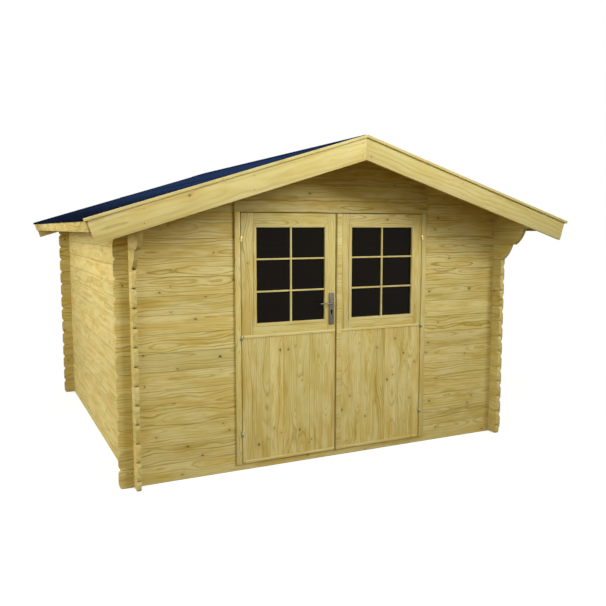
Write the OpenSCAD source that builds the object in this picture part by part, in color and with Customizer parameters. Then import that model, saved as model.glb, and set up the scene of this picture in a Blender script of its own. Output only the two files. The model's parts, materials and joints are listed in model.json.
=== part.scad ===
// Wooden garden chalet: interlocking log walls, gable roof with a deep front overhang, glazed double door.
// Millimetres. X runs along the front, Y from front to back, Z up from the ground.
// The origin lies on the ground under the middle of the roof.

/* [Walls] */
// Outside width over the side walls
wall_w = 2980; // [2600:10:3400]
// Outside depth over the front and back walls
wall_d = 2980; // [2400:10:3600]
// Thickness of a log
log_t = 28; // [24:1:40]
// Height of one course of logs
log_h = 125; // [118:1:132]
// Height of the plate log at its outer face
plate_log_h = 135; // [125:1:150]
// Length of the log ends past the crossing wall
log_end = 96; // [70:1:120]
// Length of the rounding on a log end
end_round_l = 22; // [8:1:30]
// Height of the rounding on a log end
end_round_h = 34; // [12:1:44]
// Width of the tongue on top of a log
tongue_w = 10; // [8:1:12]
// Height of the tongue on top of a log
tongue_h = 7; // [5:1:10]
// Chamfer along each log's long edges
joint_chamfer = 2.4; // [1:0.2:4]

/* [Brackets] */
// Reach of the lower bracket log in front of the wall
bracket_low_reach = 198; // [150:1:220]
// Where the curve of the upper bracket log starts in front of the wall
bracket_top_start = 234; // [200:1:260]
// Reach of the upper bracket log in front of the wall
bracket_top_reach = 337; // [280:1:360]

/* [Roof] */
// Pitch of the roof in degrees
roof_pitch = 17.1; // [15:0.1:20]
// Overhang of the roof past the front wall
front_overhang = 437; // [380:1:500]
// Overhang of the roof past the back wall
back_overhang = 156; // [130:1:220]
// Overhang of the eaves past the side walls
eave_overhang = 323; // [250:1:380]
// Thickness of the roof boards
roof_board_t = 16; // [14:1:22]
// Thickness of the roofing felt
felt_t = 4; // [3:0.5:6]
// Depth of the turned-down edge of the felt
felt_lip_h = 16; // [12:1:22]
// Length of the felt past the eave board
felt_over = 6; // [5:0.5:10]
// Thickness of the felt strip over the ridge
ridge_felt_t = 3; // [2:0.5:5]
// Width of the ridge strip on each slope
ridge_felt_w = 160; // [100:5:250]
// Height of the eave boards
eave_board_h = 78; // [60:1:100]
// Thickness of the eave boards
eave_board_t = 18; // [14:1:24]
// Height of the bargeboards
barge_h = 138; // [110:1:160]
// Thickness of the bargeboards
barge_t = 20; // [16:1:26]
// How far a bargeboard ends before the tip of its cap strip
barge_short = 17; // [10:1:30]
// Thickness of the cap strips
cap_t = 18; // [14:1:24]
// How far a cap strip stands in front of its bargeboard
cap_proud = 12; // [6:1:18]
// Width of the purlins
purlin_w = 44; // [36:1:60]
// Depth of the ridge purlin
ridge_purlin_h = 92; // [80:1:120]
// Depth of the side purlins
side_purlin_h = 98; // [80:1:110]
// Distance of a side purlin's middle from the ridge line
side_purlin_x = 797; // [790:1:1000]

/* [Door frame] */
// Outside width of the door frame
frame_w = 1562; // [1400:2:1700]
// Width of a jamb's face
jamb_face = 39; // [32:1:50]
// How far the frame stands in front of the wall
frame_proud = 20; // [15:1:30]
// How far the frame stands inside the wall
frame_inside = 20; // [16:1:30]
// Depth of the groove that takes the log ends
jamb_groove = 20; // [14:1:24]
// Width of the door stop
stop_w = 14; // [10:1:20]
// Height of the header
header_h = 112; // [90:1:124]
// Height of the sill above the ground
sill_h = 47; // [40:1:60]
// Clear height between sill and header
door_h = 1754; // [1650:2:1770]

/* [Door leaves] */
// Thickness of a leaf
leaf_t = 40; // [36:1:46]
// How far the leaves lie behind the face of the frame
leaf_set_back = 2; // [1:1:6]
// Running gap around a leaf
leaf_gap = 6; // [6:0.5:8]
// Gap between the two leaves
meet_gap = 9; // [8:0.5:12]
// Middle of the gap between the leaves, from the ridge line
meet_x = -8; // [-20:1:20]
// Width of the left leaf's stile on the hinge side
left_stile_w = 87; // [60:1:110]
// Width of the right leaf's stile on the hinge side
right_stile_w = 66; // [56:1:100]
// Width of the stiles on the meeting side
meet_stile_w = 65; // [56:1:90]
// Width of the meeting strip on the right leaf
strip_w = 38; // [30:1:50]
// Thickness of the meeting strip
strip_t = 14; // [8:1:18]
// Height of the top rail
top_rail_h = 76; // [65:1:110]
// Height of the bottom rail
bottom_rail_h = 95; // [70:1:120]
// Height of the middle rail
mid_rail_h = 96; // [80:1:120]
// Height of the windows' lower edge above the ground
window_z = 1014; // [950:1:1100]
// Thickness of the boarding on the lower half
boarding_t = 14; // [10:1:18]
// Height of the middle rail's face between the boarding and the windows
mid_face_h = 66; // [45:1:80]
// Height of the trim strip over the boarding
trim_h = 18; // [12:1:24]
// Thickness of the trim strip
trim_t = 7; // [4:1:10]
// Width of the glazing beads
bead_w = 22; // [16:1:28]
// How far the outer beads stand in front of the leaf
bead_proud = 4; // [2:1:8]
// Thickness of the glass
glass_t = 4; // [3:0.5:6]

/* [Hardware] */
// Radius of the hinge barrels
knuckle_r = 6.5; // [5:0.5:8]
// Length of each half of a hinge barrel
knuckle_l = 19; // [14:1:24]
// Radius of the hinge pins
pin_r = 3.5; // [2.5:0.5:4]
// Height of the lowest hinge above the foot of the leaf
hinge_low_in = 211; // [150:1:260]
// Distance of the highest hinge below the top of the leaf
hinge_top_in = 175; // [130:1:260]
// Length of the pins above the lower barrels
pin_l = 14; // [10:1:14]
// Length of the hinge stems from the middle of the barrel
stem_l = 14; // [10:1:18]
// Height of the hinge stems
stem_h = 8; // [6:1:12]
// Number of hinges on a leaf
hinge_count = 3; // [2:1:4]
// Width of the lock plates
plate_w = 40; // [34:1:48]
// Height of the lock plates
plate_h = 231; // [200:1:250]
// Thickness of the lock plates
plate_t = 7; // [4:1:9]
// Height of the lock plates' lower edge above the ground
plate_z = 995; // [900:1:1020]
// Height of the lever's pivot above the plate's lower edge
lever_rise = 160; // [140:1:180]
// Length of the lever arm
lever_l = 104; // [85:1:125]
// Radius of the lever arm
lever_r = 6; // [5:0.5:10]
// Radius of the lever's neck
neck_r = 7; // [6.5:0.5:12]
// Distance of the lever arm from its plate
lever_stand = 40; // [32:1:50]
// Radius of the spindle
spindle_r = 5; // [4:0.5:6]

/* [Floor] */
// How far the floor lies below the sill
floor_drop = 2; // [1:0.5:6]
// Width of the floor joists
joist_w = 45; // [35:1:60]
// Number of floor joists
joist_count = 6; // [4:1:8]
// Thickness of the floor boards
floor_t = 18; // [16:1:20]

/* [Hidden] */

// Clearance between pieces that sit together
seat = 0.3;
// Gap between one log and the next
log_gap = 0.4;
// Overlap that makes a cut run clean through
through = 2;
// Room between a trim strip and what stands at its ends
trim_room = 3;
// Running clearance of pins in their bores
pin_clear = 0.15;
// Steps in a quarter of a rounding
arc_steps = 4;
// Share of a course that each log keeps where two walls cross
cross_low = 0.25;
cross_high = 0.75;
// Largest share of a log's height that one rounding of its end takes
round_share = 0.4;
// How far out and up the curve of a bracket end is drawn, as shares of its own length and height
bracket_out = 0.7;
bracket_up = 0.32;
$fn = 48;

tone_log = "#c9b46a";
tone_trim = "#d8c98a";
tone_felt = "#26345c";
tone_metal = "#a9a79c";
tone_glass = "#2a2a28";

// Places of the walls; a side wall has as many whole courses as lie below the foot of the header
front_y = (front_overhang - back_overhang - wall_d) / 2;
back_y = front_y + wall_d;
side_x = wall_w / 2;
header_z = sill_h + door_h;
header_top = header_z + header_h;
half_log_h = log_h / 2;
side_courses = floor((header_z - half_log_h) / log_h);
plate_z0 = half_log_h + side_courses * log_h;

// Slope of the roof; u runs down a slope from the ridge, v stands square to it
rise = tan(roof_pitch);
down_x = cos(roof_pitch);
down_z = sin(roof_pitch);
roof_t = roof_board_t + felt_t;
under_ridge = plate_z0 + plate_log_h + seat + side_x * rise;
ridge_z = under_ridge + roof_t / down_x;
slope_l = (side_x + eave_overhang) / down_x;
roof_front = front_y - front_overhang;
roof_back = back_y + back_overhang;
barge_front = roof_front + cap_proud;
barge_back = roof_back - cap_proud;
deck_front = barge_front + barge_t + seat;
deck_back = barge_back - barge_t - seat;
deck_end = slope_l - felt_over - eave_board_t;
side_purlin_z0 = under_roof(side_purlin_x - purlin_w / 2) - side_purlin_h;

// Courses of the front and back walls; the last one runs up to the ridge
gable_courses = floor(under_ridge / log_h);
frame_half = frame_w / 2;
split_courses = floor(header_top / log_h);

// Places in the doorway, from the middle of the front
frame_front = front_y - frame_proud;
frame_back = front_y + log_t + frame_inside;
jamb_inner = frame_half - jamb_face;
log_stop_x = frame_half - jamb_groove;
leaf_front = frame_front + leaf_set_back;
leaf_back = leaf_front + leaf_t;
leaf_z0 = sill_h + leaf_gap;
leaf_z1 = header_z - leaf_gap;
leaf_outer = jamb_inner - leaf_gap;
left_meet = meet_x - meet_gap / 2;
right_meet = meet_x + meet_gap / 2;
left_window = [-leaf_outer + left_stile_w, left_meet - meet_stile_w];
right_window = [right_meet + strip_w + meet_stile_w, leaf_outer - right_stile_w];
window_top = leaf_z1 - top_rail_h;
boarding_top = window_z - mid_face_h;
glass_front = leaf_front + boarding_t + seat;
hinge_x = jamb_inner - leaf_gap / 2;
hinge_y = frame_front - knuckle_r - seat;
hinge_low_z = leaf_z0 + hinge_low_in;
hinge_step = (leaf_z1 - hinge_top_in - hinge_low_z) / (hinge_count - 1);
trim_outer = hinge_x - stem_l - trim_room;
plate_x = left_meet - meet_stile_w / 2;
lever_z = plate_z + lever_rise;
joist_h = sill_h - floor_drop - floor_t;

// A point on the right-hand slope, as [x, z]
function slope_point(u, v) = [u * down_x + v * down_z, ridge_z - u * down_z + v * down_x];
// How far down the slope the mitre at the ridge lies for a height v
function mitre(v) = (seat / 2 - v * down_z) / down_x;
// Height of the roof's underside over a distance x from the ridge line
function under_roof(x) = under_ridge - abs(x) * rise;
// A quarter ellipse from angle a0, about a centre, with half axes rx and rz
function quarter(cx, cz, rx, rz, a0) = [
    for (i = [0 : arc_steps]) [cx + rx * cos(a0 + i * 90 / arc_steps), cz + rz * sin(a0 + i * 90 / arc_steps)]
];
// A curve from p0 to p2 drawn towards p1
function bend(p0, p1, p2) = [
    for (i = [0 : 2 * arc_steps]) let (s = i / (2 * arc_steps))
        (1 - s) * (1 - s) * p0 + 2 * s * (1 - s) * p1 + s * s * p2
];

// Cross-section of a log: tongue above, groove below, chamfered long edges
module log_section(h, groove, tongue) {
    mid = log_t / 2;
    tw = tongue_w / 2;
    gw = tw + log_gap;
    gh = tongue_h + 2 * log_gap;
    c = joint_chamfer;
    foot = groove ? [[mid - gw, 0], [mid - gw, gh], [mid + gw, gh], [mid + gw, 0]] : [];
    head = tongue ? [[mid + tw, h], [mid + tw, h + tongue_h], [mid - tw, h + tongue_h], [mid - tw, h]] : [];
    polygon(concat([[c, 0]], foot, [[log_t - c, 0], [log_t, c], [log_t, h - c], [log_t - c, h]],
        head, [[c, h], [0, h - c], [0, c]]));
}

// Rounded end of a log at x0, drawn from its top to its foot
function start_end(x0, h) = let (rz = min(end_round_h, h * round_share)) concat(
    quarter(x0 + end_round_l, h - rz, end_round_l, rz, 90),
    quarter(x0 + end_round_l, rz, end_round_l, rz, 180));
// Rounded end of a log at x1, drawn from its foot to its top
function finish_end(x1, h) = let (rz = min(end_round_h, h * round_share)) concat(
    quarter(x1 - end_round_l, rz, end_round_l, rz, 270),
    quarter(x1 - end_round_l, h - rz, end_round_l, rz, 0));
// Notch in a log's foot for a crossing wall that starts at x
function foot_notch(x, low) = low <= 0 ? [] : [[x - log_gap, 0], [x - log_gap, low],
    [x + log_t + log_gap, low], [x + log_t + log_gap, 0]];
// Notch in a log's head for a crossing wall that starts at x
function head_notch(x, high, h) = [[x + log_t + log_gap, h], [x + log_t + log_gap, high],
    [x - log_gap, high], [x - log_gap, h]];

// A log that lies along X with its outer face at y = 0; n0 and n1 are where the crossing walls start.
// Its first end is a list of points from the head to the foot.
module log(first_end, x1, h, low, high, n0, n1, groove = true, tongue = true) {
    clear_of_notch = 3 * log_gap;
    t0 = n0 + log_t + clear_of_notch;
    t1 = n1 - clear_of_notch;
    rail = tongue ? [[t1, h], [t1, h + tongue_h], [t0, h + tongue_h], [t0, h]] : [];
    outline = concat(first_end, foot_notch(n0, low), foot_notch(n1, low), finish_end(x1, h),
        head_notch(n1, high, h), rail, head_notch(n0, high, h));
    x_min = min([for (p = first_end) p[0]]);
    intersection() {
        translate([x_min - through, 0, 0]) rotate([90, 0, 90])
            linear_extrude(x1 - x_min + 2 * through) log_section(h, groove, tongue);
        translate([0, log_t + through, 0]) rotate([90, 0, 0])
            linear_extrude(log_t + 2 * through) polygon(outline);
    }
}

// All that lies above the roof's underside, less a seat, between y0 and y1
module over_roof(y0, y1) {
    reach = side_x + log_end + through;
    top = under_ridge + log_h;
    translate([0, y1, 0]) rotate([90, 0, 0]) linear_extrude(y1 - y0)
        polygon([[-reach, under_roof(reach) - seat], [0, under_ridge - seat],
            [reach, under_roof(reach) - seat], [reach, top], [-reach, top]]);
}

// Room that the purlins need in a gable
module purlin_room(y0, y1) {
    grow = seat;
    y_len = y1 - y0;
    translate([-purlin_w / 2 - grow, y0, under_ridge - ridge_purlin_h - grow])
        cube([purlin_w + 2 * grow, y_len, ridge_purlin_h + 2 * log_h]);
    for (s = [-1, 1])
        translate([s * side_purlin_x - purlin_w / 2 - grow, y0, side_purlin_z0 - grow])
            cube([purlin_w + 2 * grow, y_len, side_purlin_h + log_h]);
}

// Course k of a front or back wall whose outer or inner face lies at y
module gable_log(k, y) {
    last = k == gable_courses - 1;
    h = last ? under_ridge - k * log_h : log_h - log_gap;
    x0 = -side_x - log_end;
    difference() {
        translate([0, y, k * log_h])
            log(start_end(x0, h), -x0, h, log_h * cross_low, log_h * cross_high - log_gap,
                -side_x, side_x - log_t, k > 0, !last);
        if (h + k * log_h + tongue_h > under_roof(side_x + log_end) - seat)
            over_roof(y - through, y + log_t + through);
        if (h + k * log_h + tongue_h > side_purlin_z0 - seat)
            purlin_room(y - through, y + log_t + through);
    }
}

// Room that the door frame needs in the front wall
module frame_room() {
    translate([-frame_half - log_gap, front_y - through, sill_h])
        cube([frame_w + 2 * log_gap, log_t + 2 * through, header_top + log_gap - sill_h]);
}

module front_sill_log() {
    color(tone_log) difference() {
        gable_log(0, front_y);
        frame_room();
    }
}

// Front courses beside the door, on the side s; their inner ends lie in the jamb's groove
module front_wall_side(s) {
    span = side_x + log_end + log_stop_x + through;
    x0 = s < 0 ? -log_stop_x - seat : log_stop_x + seat - span;
    color(tone_log) for (k = [1 : split_courses - 1])
        difference() {
            gable_log(k, front_y);
            translate([x0, front_y - through, k * log_h - through])
                cube([span, log_t + 2 * through, log_h + tongue_h + 2 * through]);
        }
}
module front_wall_left() { front_wall_side(-1); }
module front_wall_right() { front_wall_side(1); }

module front_gable() {
    color(tone_log) for (k = [split_courses : gable_courses - 1])
        difference() {
            gable_log(k, front_y);
            if (k * log_h < header_top + log_gap) frame_room();
        }
}

module back_wall() {
    color(tone_log) for (k = [0 : split_courses - 1]) gable_log(k, back_y - log_t);
}
module back_gable() {
    color(tone_log) for (k = [split_courses : gable_courses - 1]) gable_log(k, back_y - log_t);
}

// Stands a log that was drawn along X in the side wall s, along Y
module in_side_wall(s, z) {
    translate([s < 0 ? -side_x + log_t : side_x, 0, z]) rotate([0, 0, 90]) children();
}
// A whole course of a side wall with the first end given
module side_log(first_end, h) {
    log(first_end, back_y + log_end, h, log_h * cross_low, log_h * cross_high - log_gap, front_y, back_y - log_t);
}

// Half log on the ground and the courses under the brackets
module side_wall(s) {
    y0 = front_y - log_end;
    foot_h = half_log_h - log_gap;
    course_h = log_h - log_gap;
    color(tone_log) {
        in_side_wall(s, 0)
            log(start_end(y0, foot_h), back_y + log_end, foot_h, 0, log_h * cross_low - log_gap,
                front_y, back_y - log_t, false);
        for (k = [0 : side_courses - 3])
            in_side_wall(s, half_log_h + k * log_h) side_log(start_end(y0, course_h), course_h);
    }
}
module left_wall() { side_wall(-1); }
module right_wall() { side_wall(1); }

// Curved front end of a bracket log, from its head to its foot
function bracket_end(start, reach, h) = let (
    foot = [front_y - start, 0],
    pull = [front_y - start - bracket_out * (reach - start), bracket_up * h],
    head = [front_y - reach, h]) bend(head, pull, foot);
module bracket_logs(s) {
    course_h = log_h - log_gap;
    ends = [bracket_end(log_end, bracket_low_reach, course_h),
        bracket_end(bracket_top_start, bracket_top_reach, course_h)];
    color(tone_log) for (i = [0, 1])
        in_side_wall(s, half_log_h + (side_courses - 2 + i) * log_h) side_log(ends[i], course_h);
}
module left_bracket_logs() { bracket_logs(-1); }
module right_bracket_logs() { bracket_logs(1); }

// Top log of a side wall, sloped to carry the roof and run out to both bargeboards
module wall_plate(s) {
    h = plate_log_h + log_t * rise;
    n0 = front_y - log_gap;
    n1 = back_y - log_t - log_gap;
    notch = log_t + 2 * log_gap;
    low = log_h * cross_low;
    high = log_h * cross_high - log_gap;
    color(tone_log) difference() {
        in_side_wall(s, plate_z0) translate([deck_front, 0, 0]) rotate([90, 0, 90])
            linear_extrude(deck_back - deck_front) log_section(h, true, false);
        for (y = [n0, n1]) {
            translate([s * side_x - log_t - through, y, plate_z0 - through])
                cube([2 * log_t + 2 * through, notch, low + through]);
            translate([s * side_x - log_t - through, y, plate_z0 + high])
                cube([2 * log_t + 2 * through, notch, h]);
        }
        over_roof(deck_front - through, deck_back + through);
    }
}
module left_wall_plate() { wall_plate(-1); }
module right_wall_plate() { wall_plate(1); }

// A block between two corners
module block(a, b) { translate(a) cube(b - a); }
// A section drawn in X and Z, run from y0 to y1
module run(y0, y1, points) {
    translate([0, y1, 0]) rotate([90, 0, 0]) linear_extrude(y1 - y0) polygon(points);
}
// Puts what is drawn on the right-hand slope onto the side s
module on_side(s) {
    if (s < 0) mirror([1, 0, 0]) children();
    else children();
}
// A flat layer on the right-hand slope, between the heights v0 and v1 and out to u1
function layer(v0, v1, u1) = [slope_point(mitre(v0), v0), slope_point(u1, v0),
    slope_point(u1, v1), slope_point(mitre(v1), v1)];

module ridge_purlin() {
    x = purlin_w / 2;
    z0 = under_ridge - ridge_purlin_h;
    color(tone_log) run(deck_front, deck_back,
        [[-x, z0], [x, z0], [x, under_roof(x) - seat], [0, under_ridge - seat], [-x, under_roof(x) - seat]]);
}
module side_purlins() {
    x0 = side_purlin_x - purlin_w / 2;
    x1 = side_purlin_x + purlin_w / 2;
    color(tone_log) for (s = [-1, 1])
        on_side(s) run(deck_front, deck_back, [[x0, side_purlin_z0], [x1, side_purlin_z0],
            [x1, under_roof(x1) - seat], [x0, under_roof(x0) - seat]]);
}

module roof_boards(s) {
    color(tone_trim) on_side(s) run(deck_front, deck_back, layer(-roof_t, -felt_t - seat / 2, deck_end - seat));
}
module left_roof_boards() { roof_boards(-1); }
module right_roof_boards() { roof_boards(1); }

// Felt of one slope with its edge turned down in front of the eave board
module roof_felt(s) {
    lip_u = slope_l - felt_t;
    color(tone_felt) on_side(s) run(deck_front, deck_back,
        [slope_point(mitre(-felt_t), -felt_t), slope_point(lip_u, -felt_t), slope_point(lip_u, -felt_lip_h),
            slope_point(slope_l, -felt_lip_h), slope_point(slope_l, 0), slope_point(mitre(0), 0)]);
}
module left_roof_felt() { roof_felt(-1); }
module right_roof_felt() { roof_felt(1); }

module ridge_felt() {
    low = slope_point(ridge_felt_w, seat / 2);
    high = slope_point(ridge_felt_w, ridge_felt_t);
    color(tone_felt) run(deck_front, deck_back,
        [[0, ridge_z + seat / 2 / down_x], low, high, [0, ridge_z + ridge_felt_t / down_x],
            [-high[0], high[1]], [-low[0], low[1]]]);
}

module eave_board(s) {
    u0 = slope_l - felt_over - eave_board_t;
    u1 = slope_l - felt_over;
    v1 = -felt_t - seat / 2;
    v0 = v1 - eave_board_h;
    color(tone_trim) on_side(s) run(deck_front, deck_back,
        [slope_point(u0, v0), slope_point(u1, v0), slope_point(u1, v1), slope_point(u0, v1)]);
}
module left_eave_board() { eave_board(-1); }
module right_eave_board() { eave_board(1); }

module bargeboards(y0) {
    color(tone_trim) for (s = [-1, 1])
        on_side(s) run(y0, y0 + barge_t, layer(-cap_t - barge_h, -cap_t - seat / 2, slope_l - barge_short));
}
module front_bargeboards() { bargeboards(barge_front); }
module back_bargeboards() { bargeboards(barge_back - barge_t); }

module cap_strips(y0) {
    color(tone_trim) for (s = [-1, 1])
        on_side(s) run(y0, y0 + cap_proud + barge_t, layer(-cap_t, 0, slope_l));
}
module front_cap_strips() { cap_strips(roof_front); }
module back_cap_strips() { cap_strips(roof_back - cap_proud - barge_t); }

// Jamb with a groove for the log ends outside and a stop for the leaf inside
module jamb(s) {
    stop_y = leaf_back + leaf_gap;
    plan = [[jamb_inner, frame_front], [frame_half, frame_front], [frame_half, front_y - seat],
        [log_stop_x, front_y - seat], [log_stop_x, front_y + log_t + seat], [frame_half, front_y + log_t + seat],
        [frame_half, frame_back], [jamb_inner - stop_w, frame_back], [jamb_inner - stop_w, stop_y],
        [jamb_inner, stop_y]];
    color(tone_trim) on_side(s) translate([0, 0, sill_h + seat])
        linear_extrude(door_h - 2 * seat) polygon(plan);
}
module left_jamb() { jamb(-1); }
module right_jamb() { jamb(1); }

// Header over both jambs, with the jambs' grooves in its ends and the same stop along its foot
module door_header() {
    stop_x = jamb_inner - stop_w - seat;
    stop_y = leaf_back + leaf_gap;
    color(tone_trim) difference() {
        union() {
            block([-frame_half, frame_front, header_z], [frame_half, frame_back, header_top]);
            block([-stop_x, stop_y, header_z - stop_w], [stop_x, frame_back, header_z + through]);
        }
        for (s = [-1, 1])
            on_side(s) block([log_stop_x, front_y - seat, header_z - through],
                [frame_half + through, front_y + log_t + seat, header_top + through]);
    }
}

module floor_joists() {
    inner = side_x - log_t - seat;
    room_front = front_y + log_t + seat;
    room_back = back_y - log_t - seat;
    step = (room_back - room_front - joist_w) / (joist_count - 1);
    color(tone_log) for (i = [0 : joist_count - 1])
        translate([-inner, room_front + i * step, 0]) cube([2 * inner, joist_w, joist_h]);
}
module floor_boards() {
    inner = side_x - log_t - seat;
    room_front = front_y + log_t + seat;
    room_back = back_y - log_t - seat;
    color(tone_trim) translate([-inner, room_front, joist_h + seat / 2])
        cube([2 * inner, room_back - room_front, floor_t - seat]);
}

// Lower halves of the hinges: a barrel on a stem against the jamb, with the pin standing in it
module hinge_pins(s) {
    color(tone_metal) for (i = [0 : hinge_count - 1])
        translate([s * hinge_x, hinge_y, hinge_low_z + i * hinge_step]) {
            translate([0, 0, -knuckle_l]) cylinder(r = knuckle_r, h = knuckle_l - seat / 2);
            translate([0, 0, -through]) cylinder(r = pin_r, h = pin_l + through);
            on_side(s) block([0, 0, -knuckle_l / 2 - stem_h / 2],
                [stem_l, frame_front - hinge_y - seat, -knuckle_l / 2 + stem_h / 2]);
        }
}
module left_hinge_pins() { hinge_pins(-1); }
module right_hinge_pins() { hinge_pins(1); }

// Upper halves of the hinges, on stems against the leaf
module hinge_knuckles(s) {
    color(tone_metal) for (i = [0 : hinge_count - 1])
        translate([s * hinge_x, hinge_y, hinge_low_z + i * hinge_step]) difference() {
            union() {
                translate([0, 0, seat / 2]) cylinder(r = knuckle_r, h = knuckle_l);
                on_side(s) block([-stem_l, 0, knuckle_l / 2 - stem_h / 2],
                    [0, leaf_front - hinge_y - seat, knuckle_l / 2 + stem_h / 2]);
            }
            translate([0, 0, -through]) cylinder(r = pin_r + pin_clear, h = pin_l + 2 * through);
        }
}
module left_hinge_knuckles() { hinge_knuckles(-1); }
module right_hinge_knuckles() { hinge_knuckles(1); }

// Stiles and rails of a leaf that spans x0 to x1 with a window between w[0] and w[1]
module door_frame(x0, x1, w) {
    rail0 = w[0] + seat;
    rail1 = w[1] - seat;
    color(tone_trim) difference() {
        union() {
            block([x0, leaf_front, leaf_z0], [w[0], leaf_back, leaf_z1]);
            block([w[1], leaf_front, leaf_z0], [x1, leaf_back, leaf_z1]);
            block([rail0, leaf_front, window_top], [rail1, leaf_back, leaf_z1]);
            block([rail0, leaf_front, window_z - mid_rail_h], [rail1, leaf_back, window_z]);
            block([rail0, leaf_front, leaf_z0], [rail1, leaf_back, leaf_z0 + bottom_rail_h]);
        }
        block([x0 - through, leaf_front - through, leaf_z0 - through],
            [x1 + through, leaf_front + boarding_t + seat, boarding_top + seat]);
    }
}

// Boarding of the lower half from x0 to x1, and over its edge a trim strip from t0 to t1
module door_boarding(x0, x1, t0, t1) {
    trim_z = boarding_top - trim_h / 2;
    color(tone_trim) {
        block([x0, leaf_front, leaf_z0], [x1, leaf_front + boarding_t, boarding_top]);
        block([t0, leaf_front - trim_t, trim_z], [t1, leaf_front - seat, trim_z + trim_h]);
    }
}

// Mitred beads on both faces of a pane in the window w
module glazing_beads(w) {
    x0 = w[0] + seat;
    x1 = w[1] - seat;
    z0 = window_z + seat;
    z1 = window_top - seat;
    b = bead_w;
    m = seat;
    faces = [[leaf_front - bead_proud, glass_front - seat], [glass_front + glass_t + seat, leaf_back]];
    color(tone_trim) for (f = faces) {
        run(f[0], f[1], [[x0, z0 + m], [x0 + b, z0 + b + m], [x0 + b, z1 - b - m], [x0, z1 - m]]);
        run(f[0], f[1], [[x1, z0 + m], [x1, z1 - m], [x1 - b, z1 - b - m], [x1 - b, z0 + b + m]]);
        run(f[0], f[1], [[x0 + m, z0], [x1 - m, z0], [x1 - b - m, z0 + b], [x0 + b + m, z0 + b]]);
        run(f[0], f[1], [[x0 + m, z1], [x0 + b + m, z1 - b], [x1 - b - m, z1 - b], [x1 - m, z1]]);
    }
}
module door_glass(w) {
    color(tone_glass) block([w[0] + seat, glass_front, window_z + seat],
        [w[1] - seat, glass_front + glass_t, window_top - seat]);
}

// Bore for the spindle through the stile and the plates
module spindle_bore() {
    translate([plate_x, leaf_back + plate_t + through, lever_z]) rotate([90, 0, 0])
        cylinder(r = spindle_r + seat, h = leaf_t + 2 * plate_t + 2 * through);
}

module left_door_frame() {
    difference() {
        door_frame(-leaf_outer, left_meet, left_window);
        spindle_bore();
    }
}
module left_door_boarding() {
    door_boarding(-leaf_outer, left_meet, -trim_outer, left_meet - trim_room);
}
module left_glazing_beads() { glazing_beads(left_window); }
module left_door_glass() { door_glass(left_window); }

// Lock plates on both faces of the left leaf
module lock_plates() {
    color(tone_metal) difference() {
        for (y = [leaf_front - plate_t - seat / 2, leaf_back + seat / 2])
            block([plate_x - plate_w / 2, y, plate_z], [plate_x + plate_w / 2, y + plate_t, plate_z + plate_h]);
        spindle_bore();
    }
}

// A lever on the face at y, standing towards d, with its neck and rounded arm
module lever(y, d) {
    arm_y = y + d * lever_stand;
    neck_y = d < 0 ? y : y + lever_stand;
    translate([plate_x, neck_y, lever_z]) rotate([90, 0, 0]) cylinder(r = neck_r, h = lever_stand);
    translate([plate_x, arm_y, lever_z]) rotate([0, -90, 0]) cylinder(r = lever_r, h = lever_l);
    translate([plate_x, arm_y, lever_z]) sphere(r = neck_r);
    translate([plate_x - lever_l, arm_y, lever_z]) sphere(r = lever_r);
}
module lever_handle() {
    outside = leaf_front - plate_t - seat;
    inside = leaf_back + plate_t + seat;
    color(tone_metal) {
        lever(outside, -1);
        lever(inside, 1);
        translate([plate_x, inside + seat, lever_z]) rotate([90, 0, 0])
            cylinder(r = spindle_r, h = inside - outside + 2 * seat);
    }
}

module right_door_frame() { door_frame(right_meet, leaf_outer, right_window); }
module right_door_boarding() {
    door_boarding(right_meet, leaf_outer, right_meet + strip_w + trim_room, trim_outer);
}
module right_glazing_beads() { glazing_beads(right_window); }
module right_door_glass() { door_glass(right_window); }

// Upright strip on the right leaf beside the gap between the leaves
module meeting_strip() {
    color(tone_trim) block([right_meet, leaf_front - strip_t, leaf_z0],
        [right_meet + strip_w, leaf_front - seat, leaf_z1]);
}

front_sill_log();
front_wall_left();
front_wall_right();
front_gable();
back_wall();
back_gable();
left_wall();
right_wall();
left_bracket_logs();
right_bracket_logs();
left_wall_plate();
right_wall_plate();
ridge_purlin();
side_purlins();
left_roof_boards();
right_roof_boards();
left_roof_felt();
right_roof_felt();
ridge_felt();
left_eave_board();
right_eave_board();
front_bargeboards();
back_bargeboards();
front_cap_strips();
back_cap_strips();
left_jamb();
right_jamb();
door_header();
floor_joists();
floor_boards();
left_hinge_pins();
right_hinge_pins();
left_door_frame();
left_door_boarding();
left_glazing_beads();
left_door_glass();
left_hinge_knuckles();
lock_plates();
lever_handle();
right_door_frame();
right_door_boarding();
right_glazing_beads();
right_door_glass();
right_hinge_knuckles();
meeting_strip();
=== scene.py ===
"""Wooden garden chalet: joinery, fittings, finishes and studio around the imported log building."""

import itertools
import json
import math

import bmesh
import bpy
from bpy.props import FloatProperty, FloatVectorProperty, IntProperty, PointerProperty
from mathutils import Matrix, Vector


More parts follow.
